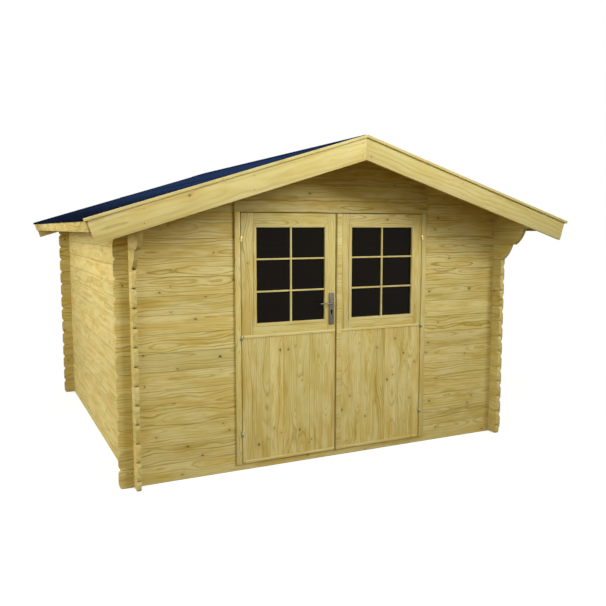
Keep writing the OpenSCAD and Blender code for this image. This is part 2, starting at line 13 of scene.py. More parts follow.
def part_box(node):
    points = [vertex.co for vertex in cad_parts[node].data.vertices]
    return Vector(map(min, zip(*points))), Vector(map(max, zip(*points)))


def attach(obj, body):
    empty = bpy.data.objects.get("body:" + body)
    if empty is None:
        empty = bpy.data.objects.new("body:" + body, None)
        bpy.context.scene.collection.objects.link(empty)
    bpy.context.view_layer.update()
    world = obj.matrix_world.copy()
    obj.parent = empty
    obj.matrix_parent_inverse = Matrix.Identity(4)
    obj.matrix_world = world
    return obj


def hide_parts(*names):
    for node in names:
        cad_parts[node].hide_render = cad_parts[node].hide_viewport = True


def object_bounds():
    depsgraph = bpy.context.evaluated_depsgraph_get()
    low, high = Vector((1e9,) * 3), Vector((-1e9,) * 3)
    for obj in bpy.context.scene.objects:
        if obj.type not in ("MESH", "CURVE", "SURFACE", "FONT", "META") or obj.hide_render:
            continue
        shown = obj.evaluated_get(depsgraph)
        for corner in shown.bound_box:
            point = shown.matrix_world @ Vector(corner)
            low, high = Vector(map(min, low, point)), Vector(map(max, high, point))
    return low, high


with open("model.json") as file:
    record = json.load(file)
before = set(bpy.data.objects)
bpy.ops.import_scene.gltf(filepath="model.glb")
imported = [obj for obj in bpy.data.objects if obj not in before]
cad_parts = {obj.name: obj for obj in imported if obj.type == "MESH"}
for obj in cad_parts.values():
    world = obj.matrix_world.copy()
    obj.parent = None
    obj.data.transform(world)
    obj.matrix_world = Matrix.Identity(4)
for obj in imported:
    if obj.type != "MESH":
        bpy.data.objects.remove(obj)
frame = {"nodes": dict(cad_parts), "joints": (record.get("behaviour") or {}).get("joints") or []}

bl_info = {
    "name": "Wooden chalet",
    "version": (1, 0, 0),
    "blender": (4, 5, 0),
    "location": "3D View > Sidebar > Chalet",
    "description": "Dresses the packed log chalet with boards, window bars, fittings and finishes",
    "category": "Object",
}

CAD_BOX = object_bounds()
SIDES = {"left": -1, "right": 1}

# Distance within which two places count as one
NEAR = 1e-5

# Share of late wood across one growth ring
LATE_WOOD = [(0.0, 0.25), (0.08, 0.0), (0.58, 0.06), (0.88, 1.0), (1.0, 0.25)]

# Number of the first piece of each kind, from which a piece draws its own grain; the number of the slopes
# makes the right front bargeboard draw a darker tone than the left one, which is painted shade
FIRST = {"left_side_logs": 81.0, "slopes": 51.0, "eave_boards": 31.0, "jambs": 51.0, "header": 55.0,
         "leaf_frames": 61.0, "meeting_strip": 95.0, "left_door_boards": 110.0, "right_door_boards": 130.0,
         "door_strips": 150.0, "window_bars": 160.0, "floor_boards": 200.0}

# Steps between the numbers of opposite walls, and between those of the roof boards on two slopes
OPPOSITE_WALL = 40.0
OTHER_SLOPE = 50.0


def metres(name, description, default):
    return FloatProperty(name=name, description=description, default=default,
                         subtype="DISTANCE", unit="LENGTH")


def angle(name, description, degrees):
    return FloatProperty(name=name, description=description, default=math.radians(degrees),
                         subtype="ANGLE", unit="ROTATION")


def amount(name, description, default):
    return FloatProperty(name=name, description=description, default=default, min=0)


def how_many(name, description, default):
    return IntProperty(name=name, description=description, default=default, min=2, max=12)


def spot(name, description, default):
    return FloatVectorProperty(name=name, description=description, default=default,
                               subtype="XYZ", unit="LENGTH")


def colour(name, description, default):
    return FloatVectorProperty(name=name, description=description, default=default,
                               subtype="COLOR", size=3, min=0, max=1)


class ChaletSizes(bpy.types.PropertyGroup):
    log_h: metres("Course height", "Height of one course of logs", 0.125)
    clearance: metres("Clearance", "Gap that keeps the faces of two pieces apart", 0.00015)
    soft_edge: metres("Soft edge", "Rounding of planed edges", 0.0012)
    roof_pitch: angle("Roof pitch", "Slope of the roof", 17.1)
    past_ridge: metres("Past the ridge", "How far boards and felt cross the ridge until they are cut", 0.02)
    felt_t: metres("Felt thickness", "Thickness of the roofing felt", 0.004)
    ridge_felt_t: metres("Ridge strip thickness", "Thickness of the felt strip over the ridge", 0.003)
    felt_lip: metres("Felt lip", "Depth of the felt's turned-down edge", 0.016)
    felt_roll: metres("Felt roll", "Width of a roll of felt, measured up the slope", 1.0)
    felt_lap: metres("Felt lap", "How far one length of felt lies over the next", 0.08)
    felt_lift: metres("Felt lift", "How far the upper length of felt rises at its lap", 0.0024)
    cap_t: metres("Cap strip", "Thickness of the strips on the bargeboards", 0.018)
    barge_h: metres("Bargeboard height", "Height of a bargeboard under its cap strip", 0.138)
    roof_board_t: metres("Roof board thickness", "Thickness of a roof board", 0.016)
    roof_board_w: metres("Roof board width", "Cover width of a roof board", 0.0975)
    floor_board_w: metres("Floor board width", "Cover width of a floor board", 0.1)
    v_joint: metres("V-joint", "Width of the chamfer along a board's edge", 0.003)
    board_gap: metres("Board gap", "Open joint between two boards", 0.0004)
    door_board_count: how_many("Door boards", "Upright boards on the lower half of a leaf", 7)
    door_joint: metres("Door board joint", "Width of the chamfer along a door board's edge", 0.0009)
    trim_h: metres("Trim height", "Height of the strip over the door boards", 0.018)
    foot_strip_h: metres("Foot strip height", "Height of the strip along the foot of a leaf", 0.019)
    strip_slope: metres("Strip slope", "Chamfer along the upper edge of a door strip", 0.005)
    strip_seat: metres("Strip seat", "Gap between a door strip and the boards behind it", 0.0002)
    strip_outer: metres("Strip's outer end", "Distance of a door strip from the hinges' edge", 0.014)
    strip_inner: metres("Strip's inner end", "Distance of a door strip from where the leaves meet", 0.003)
    bead_w: metres("Bead width", "Width of the glazing beads", 0.022)
    bar_w: metres("Upright bar", "Width of the upright window bar", 0.0125)
    bar_h: metres("Cross bar", "Height of the cross bars", 0.0115)
    bar_rows: how_many("Rows of panes", "Panes above each other", 3)
    bar_chamfer: metres("Bar chamfer", "Chamfer on the face of a window bar", 0.0025)
    bar_set_back: metres("Bar set back", "How far the bars lie behind the faces of the beads", 0.006)
    barrel_r: metres("Hinge barrel", "Radius of the hinge barrels", 0.0065)
    barrel_l: metres("Hinge barrel length", "Length of one half of a hinge barrel", 0.019)
    barrel_dome: metres("Hinge dome", "Rounding of a barrel's outer end", 0.003)
    pin_r: metres("Hinge pin", "Radius of a hinge pin", 0.0034)
    pin_l: metres("Hinge pin length", "Length of the pin above the lower barrel", 0.014)
    stem_l: metres("Hinge stem", "Length of a hinge stem from the middle of the barrel", 0.014)
    stem_h: metres("Hinge stem height", "Height of a hinge stem", 0.008)
    stem_round: metres("Hinge stem rounding", "Rounding of a hinge stem's outer edges", 0.002)
    plate_t: metres("Lock plate thickness", "Thickness of a lock plate", 0.007)
    plate_corner: metres("Lock plate corner", "Rounding of a lock plate's corners", 0.005)
    lock_drop: metres("Lock drop", "Distance of the lock cylinder's hole below the lever", 0.059)
    lock_r: metres("Lock cylinder", "Radius of the round part of the lock cylinder's hole", 0.0095)
    lock_deep: metres("Lock depth", "Depth of the lock cylinder's hole", 0.0045)
    lock_slot_w: metres("Lock slot width", "Half the width of the slot under the round part", 0.0062)
    lock_slot_l: metres("Lock slot length", "Length of the slot from the middle of the round part", 0.0255)
    screw_r: metres("Screw head", "Radius of a screw head in a lock plate", 0.0042)
    screw_in: metres("Screw distance", "Distance of a screw from the end of a lock plate", 0.012)
    screw_proud: metres("Screw height", "How far a screw head stands out", 0.0006)
    rose_r: metres("Lever rose", "Radius of the round rose behind the lever", 0.0125)
    rose_t: metres("Rose thickness", "Thickness of the rose under its rim", 0.004)
    neck_r: metres("Lever neck", "Radius of the lever's neck", 0.007)
    bend_r: metres("Lever bend", "Radius of the bend from the neck into the arm", 0.014)
    nail_r: metres("Nail head", "Radius of a nail head", 0.0035)
    nail_proud: metres("Nail height", "How far a nail head stands out", 0.0008)
    nail_ridge: metres("Ridge nails", "Distance of the upper nails from the ridge", 0.03)
    nail_upper: metres("Upper nail row", "Distance of the upper row under the slope", 0.045)
    nail_lower: metres("Lower nail row", "Distance of the lower row under the slope", 0.125)
    purlin_t: metres("Purlin thickness", "Thickness of a side purlin", 0.044)


class ChaletColours(bpy.types.PropertyGroup):
    pine_pale: colour("Pale pine", "Early wood", (0.735, 0.635, 0.285))
    pine_gold: colour("Golden pine", "Warm patches in the wood", (0.635, 0.47, 0.122))
    pine_green: colour("Green pine", "Tint left by the preservative", (0.625, 0.570, 0.215))
    pine_amber: colour("Amber pine", "Resinous streaks in the wood", (0.50, 0.345, 0.062))
    pine_grain: colour("Grain", "Late wood", (0.395, 0.270, 0.040))
    pine_knot: colour("Knots", "Middle of a knot", (0.10, 0.045, 0.012))
    felt_navy: colour("Felt", "Roofing felt", (0.011, 0.026, 0.086))
    felt_grit: colour("Felt grit", "Mineral grains in the felt", (0.027, 0.057, 0.160))
    # Dark felt also paints shade towards the eaves and along the felt's edges
    felt_dark: colour("Dark felt", "Felt with few mineral grains", (0.0045, 0.0075, 0.022))
    felt_fleck: colour("Felt flecks", "Lightest mineral grains", (0.070, 0.105, 0.220))
    steel: colour("Satin steel", "Lever", (0.20, 0.19, 0.165))
    plate: colour("Lock plate", "Dull steel of the lock plates", (0.125, 0.115, 0.098))
    zinc: colour("Zinc", "Zinc-plated hinges and nails", (0.235, 0.215, 0.115))
    # A lighter copy of the zinc: painted highlight on the leaves' halves of the lower hinges
    zinc_highlight: colour("Light zinc", "Leaves' halves of the lower hinges", (0.46, 0.445, 0.285))
    brass: colour("Brass", "Upper hinges", (0.90, 0.75, 0.31))
    # Near-black painted shade for the inside of the lock cylinder's hole
    lock_hole_shade: colour("Lock cylinder hole", "Inside of the lock", (0.006, 0.005, 0.004))
    # Painted shade of the dark room, put on the panes
    pane_room_shade: colour("Glass", "Panes before a dark room", (0.006, 0.0045, 0.0025))


class ChaletStudio(bpy.types.PropertyGroup):
    camera_place: spot("Camera", "Place of the camera", (-2.3621, -5.7315, 1.6914))
    camera_yaw: angle("Camera yaw", "Turn of the camera to the right", 25.589)
    camera_dip: angle("Camera dip", "Tilt of the camera below level", 6.244)
    camera_lens: amount("Lens", "Focal length in millimetres", 40.63)
    sky: amount("Sky", "Strength of the light from all round", 0.53)
    sky_tone: colour("Sky tone", "Colour of the light from all round", (1.0, 0.95, 0.80))
    lamp_away: metres("Lamp distance", "Distance of the lamps from what they point at", 8.0)
    lamp_r: metres("Lamp radius", "Radius of the lamps, for soft shadows", 2.3)
    lamp_cone: angle("Lamp cone", "Opening of the lamps' cones", 45)
    key_power: amount("Key lamp", "Power of the lamp right of the front", 2680.0)
    key_tone: colour("Key tone", "Colour of the key lamp", (1.0, 1.0, 1.0))
    key_aim: spot("Key aim", "Where the key lamp points", (-0.2, -1.35, 2.6))
    key_turn: angle("Key turn", "Direction of the key lamp, right of the front", 30)
    key_rise: angle("Key height", "Height of the key lamp above level", 22)
    side_power: amount("Side lamp", "Power of the lamp before the left wall", 2950.0)
    side_tone: colour("Side tone", "Colour of the side lamp", (1.0, 0.95, 0.84))
    side_aim: spot("Side aim", "Where the side lamp points", (-1.5, -0.1, 2.1))
    side_turn: angle("Side turn", "Direction of the side lamp, right of the front", -85)
    side_rise: angle("Side height", "Height of the side lamp above level", 11)
    front_power: amount("Front lamp", "Power of the lamp left of the front", 850.0)
    front_tone: colour("Front tone", "Colour of the front lamp", (0.95, 1.0, 0.98))
    front_aim: spot("Front aim", "Where the front lamp points", (-0.2, -1.35, 2.6))
    front_turn: angle("Front turn", "Direction of the front lamp, right of the front", -42)
    front_rise: angle("Front height", "Height of the front lamp above level", 17)
    floor_r: metres("Floor", "Radius of the studio floor", 60.0)
    floor_drop: metres("Floor drop", "How far the floor lies under the building", 0.0005)
    floor_tone: colour("Floor tone", "What the floor throws back on the building", (0.25, 0.187, 0.072))
    floor_glow: amount("Floor glow", "White of the floor in the building's shadow", 0.62)
    floor_shade: amount("Floor shade", "Share of the sky that the shadow takes", 0.75)


def sum_of_two(operation, turned=False):
    """A method that adds a Math node of two values, with its own wire second if turned."""

    def method(self, other):
        return self.math(operation, *((other, self) if turned else (self, other)))

    return method


def sum_of_one(operation):
    """A method that adds a Math node of one value."""

    def method(self):
        return self.math(operation, self)

    return method


class Wire:
    """A socket of a finish. Sums on it add Math nodes."""

    def __init__(self, finish, socket):
        self.finish = finish
        self.socket = socket

    def also(self, output):
        """Another output of the same node."""
        return Wire(self.finish, self.socket.node.outputs[output])

    def math(self, operation, *values):
        return self.finish.add("ShaderNodeMath", {"operation": operation}, dict(enumerate(values)))

    def ease(self, low, high, low_value=0.0, high_value=1.0):
        """Runs smoothly from low_value at low to high_value at high."""
        return self.finish.add("ShaderNodeMapRange", {"interpolation_type": "SMOOTHSTEP"},
                               {0: self, 1: low, 2: high, 3: low_value, 4: high_value})

    __add__, __radd__ = sum_of_two("ADD"), sum_of_two("ADD", turned=True)
    __sub__, __rsub__ = sum_of_two("SUBTRACT"), sum_of_two("SUBTRACT", turned=True)
    __mul__, __rmul__ = sum_of_two("MULTIPLY"), sum_of_two("MULTIPLY", turned=True)
    __truediv__, __rtruediv__ = sum_of_two("DIVIDE"), sum_of_two("DIVIDE", turned=True)
    __pow__, __rpow__ = sum_of_two("POWER"), sum_of_two("POWER", turned=True)
    __gt__, __lt__ = sum_of_two("GREATER_THAN"), sum_of_two("LESS_THAN")
    most = sum_of_two("MAXIMUM")
    __abs__, root = sum_of_one("ABSOLUTE"), sum_of_one("SQRT")
    floor, part = sum_of_one("FLOOR"), sum_of_one("FRACT")


class Finish:
    """The nodes of a material or of the sky, built one by one."""

    def __init__(self, owner):
        self.owner = owner
        owner.use_nodes = True
        self.tree = owner.node_tree
        self.tree.nodes.clear()

    @classmethod
    def named(cls, name):
        return cls(bpy.data.materials.new(name))

    def add(self, kind, settings=None, inputs=None, output=0):
        """Adds a node: first its settings, then the values and links of its sockets."""
        node = self.tree.nodes.new(kind)
        for key, value in (settings or {}).items():
            if key == "stops":
                ramp = node.color_ramp.elements
                while len(ramp) < len(value):
                    ramp.new(1.0)
                for stop, (place, level) in zip(ramp, value):
                    stop.position = place
                    stop.color = (level, level, level, 1)
            else:
                setattr(node, key, value)
        for key, value in (inputs or {}).items():
            if isinstance(value, Wire):
                self.tree.links.new(value.socket, node.inputs[key])
            else:
                node.inputs[key].default_value = value
        return Wire(self, node.outputs[output]) if len(node.outputs) else None

    def place(self):
        """The three object coordinates of a point."""
        whole = self.add("ShaderNodeTexCoord", output="Object")
        point = self.add("ShaderNodeSeparateXYZ", None, {0: whole})
        return point, point.also(1), point.also(2)

    def vector(self, x, y, z=0.0):
        return self.add("ShaderNodeCombineXYZ", None, {0: x, 1: y, 2: z})

    def noise(self, x, y, z=0.0, detail=2.0, rough=0.5):
        return self.add("ShaderNodeTexNoise", {"noise_dimensions": "3D"},
                        {"Vector": self.vector(x, y, z), "Scale": 1.0,
                         "Detail": detail, "Roughness": rough})

    def chance(self, x, y=0.0, z=0.0):
        """A random value for whole numbers, and by also three more in its colour."""
        return self.add("ShaderNodeTexWhiteNoise", {"noise_dimensions": "3D"},
                        {"Vector": self.vector(x, y, z)})

    def three(self, tint):
        """The three parts of a colour as values."""
        parts = self.add("ShaderNodeSeparateColor", None, {0: tint})
        return parts, parts.also(1), parts.also(2)

    def mix(self, a, b, share, blend="MIX"):
        ends = [v if isinstance(v, Wire) else (*v, 1.0) for v in (a, b)]
        return self.add("ShaderNodeMix", {"data_type": "RGBA", "blend_type": blend},
                        {0: share, 6: ends[0], 7: ends[1]}, 2)

    def bump(self, height, distance, strength):
        return self.add("ShaderNodeBump", None,
                        {"Height": height, "Distance": distance, "Strength": strength})

    def seen(self):
        """1 where the camera sees a thing, also in a mirror or through glass."""
        path = self.add("ShaderNodeLightPath", output="Is Camera Ray")
        return path.most(path.also("Is Glossy Ray")).most(path.also("Is Transmission Ray"))

    def surface(self, inputs):
        """Ends the finish in one Principled shader."""
        shader = self.add("ShaderNodeBsdfPrincipled", None, inputs)
        self.add("ShaderNodeOutputMaterial", None, {"Surface": shader})
        return self.owner


def pine(name, lay, ring=0.024, figure=1.0, knots=0.45, pale=0.0, joint=None):
    """Planed pine.

    lay gives a point's run along the grain, its distances across and into the piece, and a number for
    the piece. ring is the width of a growth ring, figure how lively the grain is, knots the share of
    places that hold a knot, pale how light and even the wood is, and joint half the width of a piece
    whose edges are darkened with dirt and painted shade in the joints.
    """
    tones = bpy.context.scene.chalet_colours
    f = Finish.named(name)
    run, across, depth, piece = lay(f, *f.place())
    heart_luck, line_luck, shade_luck = f.three(f.chance(piece, 3.0, 7.0).also("Color"))

    # Knots go straight through a piece, and the grain bends round them
    per_run, per_width = 2.3, 13.0
    knot_run = run * per_run + piece * 3.71
    knot_wide = across * per_width + piece * 5.3
    cell = f.add("ShaderNodeTexVoronoi", {"voronoi_dimensions": "2D", "feature": "F1"},
                 {"Vector": f.vector(knot_run, knot_wide), "Scale": 1.0}, "Position")
    centre = f.add("ShaderNodeSeparateXYZ", None, {0: cell})
    away_run = (knot_run - centre) / per_run
    away_wide = (knot_wide - centre.also(1)) / per_width
    away = (away_run * away_run * 0.6 + away_wide * away_wide).root()
    has, size, dark = f.three(cell.also("Color"))
    has = has < knots
    radius = 0.0038 + size * 0.0052
    knot = has * away.ease(radius * 1.3, radius * 0.55) * (0.40 + 0.50 * dark)
    spread = away / (radius * 2.6)
    around = has / (1.0 + spread * spread)

    # Growth rings about a wandering heart behind the face
    sway = (f.noise(run * 0.9, piece * 2.3, 1.5) - 0.5) * (0.09 * figure)
    sink = 0.010 + (f.noise(run * 2.1, piece * 4.1, 8.2, 1.0) - 0.36) * (0.13 * figure)
    waver = (f.noise(run * 5.0, across * 22.0, piece, 2.0, 0.55) - 0.5) * (0.024 * figure)
    roll = (f.noise(run * 2.6, across * 7.0, piece * 1.3 + 2.0, 1.0) - 0.5) * (0.060 * figure)
    from_heart = across + (heart_luck - 0.5) * 0.10 + sway
    into = depth + sink
    radius_out = (from_heart * from_heart + into * into).root() + waver + roll + around * 0.011
    rings = radius_out / ring
    strong = 0.22 + 0.78 * f.chance(rings.floor(), piece) ** 1.6
    line = f.add("ShaderNodeValToRGB", {"stops": LATE_WOOD}, {0: rings.part()}) * strong

    # Fibres, and patches of other colours that are drawn out along the grain
    fibre = f.noise(run * 9.0, across * 420.0, depth * 420.0, 3.0, 0.6)
    patch = f.noise(run * 3.2, across * 15.0, piece * 1.7 + 4.0, 3.0, 0.6)
    tint = f.noise(run * 0.8, across * 3.0, piece * 0.9 + 9.0, 1.0)
    resin = f.noise(run * 2.4, across * 17.0, piece * 2.9 + 6.0, 2.0)
    wood = tones.pine_pale
    for tone, share in ((tones.pine_gold, patch.ease(0.38, 0.66) * (0.80 - 0.5 * pale)),
                        (tones.pine_green, tint.ease(0.42, 0.70) * 0.45),
                        (tones.pine_amber, resin.ease(0.55, 0.72) * (0.60 - 0.50 * pale)),
                        (tones.pine_grain, line * (0.95 - 0.60 * pale) * (0.65 + 0.5 * line_luck)),
                        (tones.pine_grain, fibre.ease(0.52, 0.85) * 0.16),
                        (tones.pine_grain, around * 0.30),
                        (tones.pine_knot, knot)):
        wood = f.mix(wood, tone, share)
    shade = 0.94 + 0.10 * shade_luck
    grey = f.add("ShaderNodeCombineColor", None, {0: shade, 1: shade, 2: shade})
    wood = f.mix(wood, grey, 1.0, "MULTIPLY")
    if joint:
        # Darker along both edges of the piece: dirt and painted shade in the joint
        joint_dirt_and_shade = abs(across).ease(joint - 0.0032, joint - 0.0008)
        wood = f.mix(wood, tones.pine_knot, joint_dirt_and_shade * 0.30)
    relief = line * -0.5 + fibre * 0.35 - knot * 0.8
    return f.surface({"Base Color": wood, "Roughness": 0.66 + 0.12 * fibre - 0.08 * line,
                      "Specular IOR Level": 0.16, "Normal": f.bump(relief, 0.0005, 0.6)})


def wall_lays():
    """Lays of the grain for the logs of the front and back walls, and for those of the side walls."""
    course_h = bpy.context.scene.chalet_sizes.log_h
    front_y, back_y = middle("front_sill_log").y, middle("back_wall").y
    side_x = middle("right_wall").x

    def across_front(f, x, y, z):
        course = (z / course_h).floor()
        behind = y > 0.0
        into = y - front_y - behind * (back_y - front_y)
        return x, z - (course + 0.5) * course_h, into, course + behind * OPPOSITE_WALL

    def along_side(f, x, y, z):
        course = (z / course_h - 0.5).floor()
        number = course + FIRST["left_side_logs"] + (x > 0.0) * OPPOSITE_WALL
        return y, z - (course + 1.0) * course_h, abs(x) - side_x, number

    return across_front, along_side


def slope_lay(height):
    """Lay of the grain down both slopes, for boards whose middle has a height square to the slope."""
    pitch = bpy.context.scene.chalet_sizes.roof_pitch
    cos, sin = math.cos(pitch), math.sin(pitch)
    ridge = ridge_height()

    def down_slope(f, x, y, z):
        out, up = abs(x), z - ridge
        number = (x > 0.0) + (y > 0.0) * 2.0 + FIRST["slopes"]
        return out * cos - up * sin, out * sin + up * cos - height, abs(y) - CAD_BOX[1].y, number

    return down_slope


def strips(pitch, start, axes, deep_at, number):
    """Lay of the grain for boards of one pitch side by side, from start.

    axes are those that run along, across and into a board.
    """
    along, wide, deep = axes

    def beside(f, *point):
        board = ((point[wide] - start) / pitch).floor()
        across = point[wide] - start - (board + 0.5) * pitch
        return point[along], across, point[deep] - deep_at, board + number

    return beside


def middle(node):
    """The middle of a solid's box."""
    low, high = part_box(node)
    return (low + high) / 2


def pivot(name):
    """A point on a joint's axis."""
    return next(joint["pos_m"] for joint in frame["joints"] if joint["name"] == name)


def ridge_height():
    """Height at which the upper faces of the two slopes meet."""
    sizes = bpy.context.scene.chalet_sizes
    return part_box("ridge_felt")[1].z - sizes.ridge_felt_t / math.cos(sizes.roof_pitch)


def roofing(edges):
    """Roofing felt: mineral grains on a navy sheet, a little uneven and darker towards the eaves with
    painted shade, with bitumen and painted shade along its edges.
    """
    tones = bpy.context.scene.chalet_colours
    f = Finish.named("navy_felt")
    x, y, z = f.place()
    grain = f.noise(x * 420.0, y * 420.0, z * 420.0, 2.0, 0.7)
    mottle = f.noise(x * 34.0, y * 34.0, z * 34.0, 4.0, 0.65)
    cloud = f.noise(x * 2.4, y * 0.7, z * 2.4, 3.0)
    speck = f.chance((x * 320.0).floor(), (y * 320.0).floor(), (z * 320.0).floor())
    gritty = grain.ease(0.40, 0.75) * 0.45 + mottle.ease(0.42, 0.70) * 0.45
    # Bare felt in clouds, and painted shade that darkens the felt towards the eaves
    bare_and_eave_shade = cloud.ease(0.38, 0.66) * 0.20 + abs(x).ease(0.9, 1.7) * 0.80
    felt = f.mix(tones.felt_navy, tones.felt_grit, gritty)
    felt = f.mix(felt, tones.felt_dark, bare_and_eave_shade)
    felt = f.mix(felt, tones.felt_fleck, speck.ease(0.90, 1.0) * 0.6)
    for edge in edges:
        # A dark band along each edge: bitumen, and painted shade of the edge
        bitumen_and_edge_shade = abs(abs(x) - edge).ease(0.009, 0.004) * (0.5 + 0.5 * mottle)
        felt = f.mix(felt, tones.felt_dark, bitumen_and_edge_shade)
    relief = grain * 0.4 + speck * 0.2 + mottle * 0.4
    return f.surface({"Base Color": felt, "Roughness": 0.86 + 0.10 * grain,
                      "Specular IOR Level": 0.0, "Normal": f.bump(relief, 0.0012, 0.9)})


def metal(name, tone, rough, stretch):
    """Plated or satin metal with faint clouding, and fine marks that are drawn out as stretch says."""
    f = Finish.named(name)
    x, y, z = f.place()
    mark = f.noise(x * stretch[0], y * stretch[1], z * stretch[2], 3.0, 0.6)
    cloud = f.noise(x * 60.0, y * 60.0, z * 60.0, 2.0)
    dull = tuple(0.62 * v for v in tone)
    worn = cloud.ease(0.35, 0.75) * 0.6 + mark.ease(0.5, 0.9) * 0.3
    return f.surface({"Base Color": f.mix(tone, dull, worn), "Metallic": 0.92 + 0.08 * mark,
                      "Roughness": rough + 0.14 * mark + 0.08 * cloud,
                      "Normal": f.bump(mark, 0.0001, 0.5)})


def lock_hole():
    """Near-black painted shade inside the lock cylinder's hole, a little uneven."""
    tones = bpy.context.scene.chalet_colours
    f = Finish.named("dark_lock")
    x, y, z = f.place()
    film = f.noise(x * 300.0, y * 300.0, z * 300.0)
    lighter_shade = tuple(2.0 * v for v in tones.lock_hole_shade)
    return f.surface({"Base Color": f.mix(tones.lock_hole_shade, lighter_shade, film),
                      "Roughness": 0.6 + 0.3 * film, "Specular IOR Level": 0.0})


def pane():
    """Glass painted near-black with the shade of the dark room behind it, with a faint film."""
    tones = bpy.context.scene.chalet_colours
    f = Finish.named("dark_pane")
    x, y, z = f.place()
    film = f.noise(x * 5.0, y * 5.0, z * 5.0, 3.0)
    milky = tuple(1.6 * v for v in tones.pane_room_shade)
    return f.surface({"Base Color": f.mix(tones.pane_room_shade, milky, film), "Alpha": 0.86,
                      "Roughness": 0.02 + 0.05 * film.ease(0.4, 0.8), "Specular IOR Level": 0.08})


def nothing_selected():
    """Leaves edit mode and deselects everything."""
    if bpy.context.object and bpy.context.object.mode != "OBJECT":
        bpy.ops.object.mode_set(mode="OBJECT")
    bpy.ops.object.select_all(action="DESELECT")


def only(piece):
    """Selects one piece and makes it the active one."""
    nothing_selected()
    piece.select_set(True)
    bpy.context.view_layer.objects.active = piece


def block(name, low, high):
    """A box between two corners, to be shaped further."""
    nothing_selected()
    low, high = Vector(low), Vector(high)
    bpy.ops.mesh.primitive_cube_add(size=1, location=(low + high) / 2, scale=high - low)
    return settle(name)


def rod(name, radius, low, high, sides=24):
    """A round bar between two points, to be shaped further."""
    nothing_selected()
    low, high = Vector(low), Vector(high)
    turn = (high - low).to_track_quat("Z", "Y").to_euler()
    bpy.ops.mesh.primitive_cylinder_add(vertices=sides, radius=radius, depth=(high - low).length,
                                        location=(low + high) / 2, rotation=turn)
    return settle(name)


def settle(name):
    """Names the active piece and moves its place, turn and scale into its mesh."""
    piece = bpy.context.object
    piece.name = piece.data.name = name
    bpy.ops.object.transform_apply(location=True, rotation=True, scale=True)
    return piece


def choose(piece, kind, test):
    """In edit mode, selects the edges or faces that pass a test."""
    only(piece)
    bpy.ops.object.mode_set(mode="EDIT")
    bpy.ops.mesh.select_mode(type=kind)
    bpy.ops.mesh.select_all(action="DESELECT")
    mesh = bmesh.from_edit_mesh(piece.data)
    for part in mesh.edges if kind == "EDGE" else mesh.faces:
        part.select_set(bool(test(part)))
    bmesh.update_edit_mesh(piece.data)


def soften(piece, test, offset, segments=1):
    """Bevels the edges that pass a test."""
    choose(piece, "EDGE", test)
    bpy.ops.mesh.bevel(offset=offset, offset_type="OFFSET", segments=segments, affect="EDGES")
    bpy.ops.object.mode_set(mode="OBJECT")
    return piece


def runs(edge, axis):
    """Whether an edge runs along an axis."""
    way = edge.verts[1].co - edge.verts[0].co
    return abs(way[axis]) > 0.99 * way.length


def lies(edge, axis, place):
    """Whether both ends of an edge lie at a place on an axis."""
    return all(abs(v.co[axis] - place) < NEAR for v in edge.verts)


def twin(piece, name, matrix):
    """A copy of a piece with its own mesh, moved."""
    other = piece.copy()
    other.data = piece.data.copy()
    other.name = other.data.name = name
    other.data.transform(matrix)
    if matrix.determinant() < 0:
        other.data.flip_normals()
    bpy.context.collection.objects.link(other)
    return other


def row(piece, name, steps):
    """The piece and its copies at the steps, joined in one mesh."""
    return joined(name, [piece] + [twin(piece, name, Matrix.Translation(step)) for step in steps])


def joined(name, pieces):
    """The pieces in one mesh."""
    nothing_selected()
    for piece in pieces:
        piece.select_set(True)
    bpy.context.view_layer.objects.active = pieces[0]
    bpy.ops.object.join()
    pieces[0].name = pieces[0].data.name = name
    return pieces[0]


def mirrored(piece, name):
    """The same piece on the other side of the ridge line."""
    return twin(piece, name, Matrix.Scale(-1, 4, (1, 0, 0)))


def round_off(piece, degrees=35):
    """Shades a piece smooth across edges that turn less than some degrees."""
    only(piece)
    bpy.ops.object.shade_smooth_by_angle(angle=math.radians(degrees))


def lay_on_slope(piece):
    """Turns a level piece about the ridge line, on to the right slope."""
    piece.rotation_euler = (0, bpy.context.scene.chalet_sizes.roof_pitch, 0)
    piece.location = (0, 0, ridge_height())
    only(piece)
    settle(piece.name)


def cut_at_ridge(piece, start):
    """Cuts off what lies past the ridge."""
    choose(piece, "FACE", lambda face: True)
    bpy.ops.mesh.bisect(plane_co=(start, 0, 0), plane_no=(1, 0, 0), use_fill=True, clear_inner=True)
    bpy.ops.object.mode_set(mode="OBJECT")


def hand_over(piece, body, slot, finish, *nodes):
    """Gives a piece its finish and body, and hides the solids that it stands for. slot is not used."""
    if finish:
        piece.data.materials.clear()
        piece.data.materials.append(finish)
    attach(piece, body)
    if nodes:
        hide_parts(*nodes)
    return piece


def planed(node, body, slot, finish):
    """A copy of a solid with merged corners and softened edges, in place of it."""
    solid = frame["nodes"][node]
    nothing_selected()
    piece = bpy.data.objects.new(node + "_planed", solid.data.copy())
    piece.data.name = piece.name
    bpy.context.collection.objects.link(piece)
    only(piece)
    bpy.ops.object.mode_set(mode="EDIT")
    bpy.ops.mesh.select_all(action="SELECT")
    bpy.ops.mesh.remove_doubles(threshold=NEAR)
    bpy.ops.mesh.dissolve_limited(angle_limit=math.radians(1))
    bpy.ops.object.mode_set(mode="OBJECT")
    edge = piece.modifiers.new("soft_edge", "BEVEL")
    edge.width = bpy.context.scene.chalet_sizes.soft_edge
    edge.segments = 2
    edge.limit_method = "ANGLE"
    edge.angle_limit = math.radians(30)
    edge.use_clamp_overlap = True
    bpy.ops.object.modifier_apply(modifier=edge.name)
    round_off(piece)
    return hand_over(piece, body, slot, finish, node)


def refinish(finish, *nodes):
    """Puts a finish on solids that keep their shape."""
    for node in nodes:
        materials = frame["nodes"][node].data.materials
        materials.clear()
        materials.append(finish)


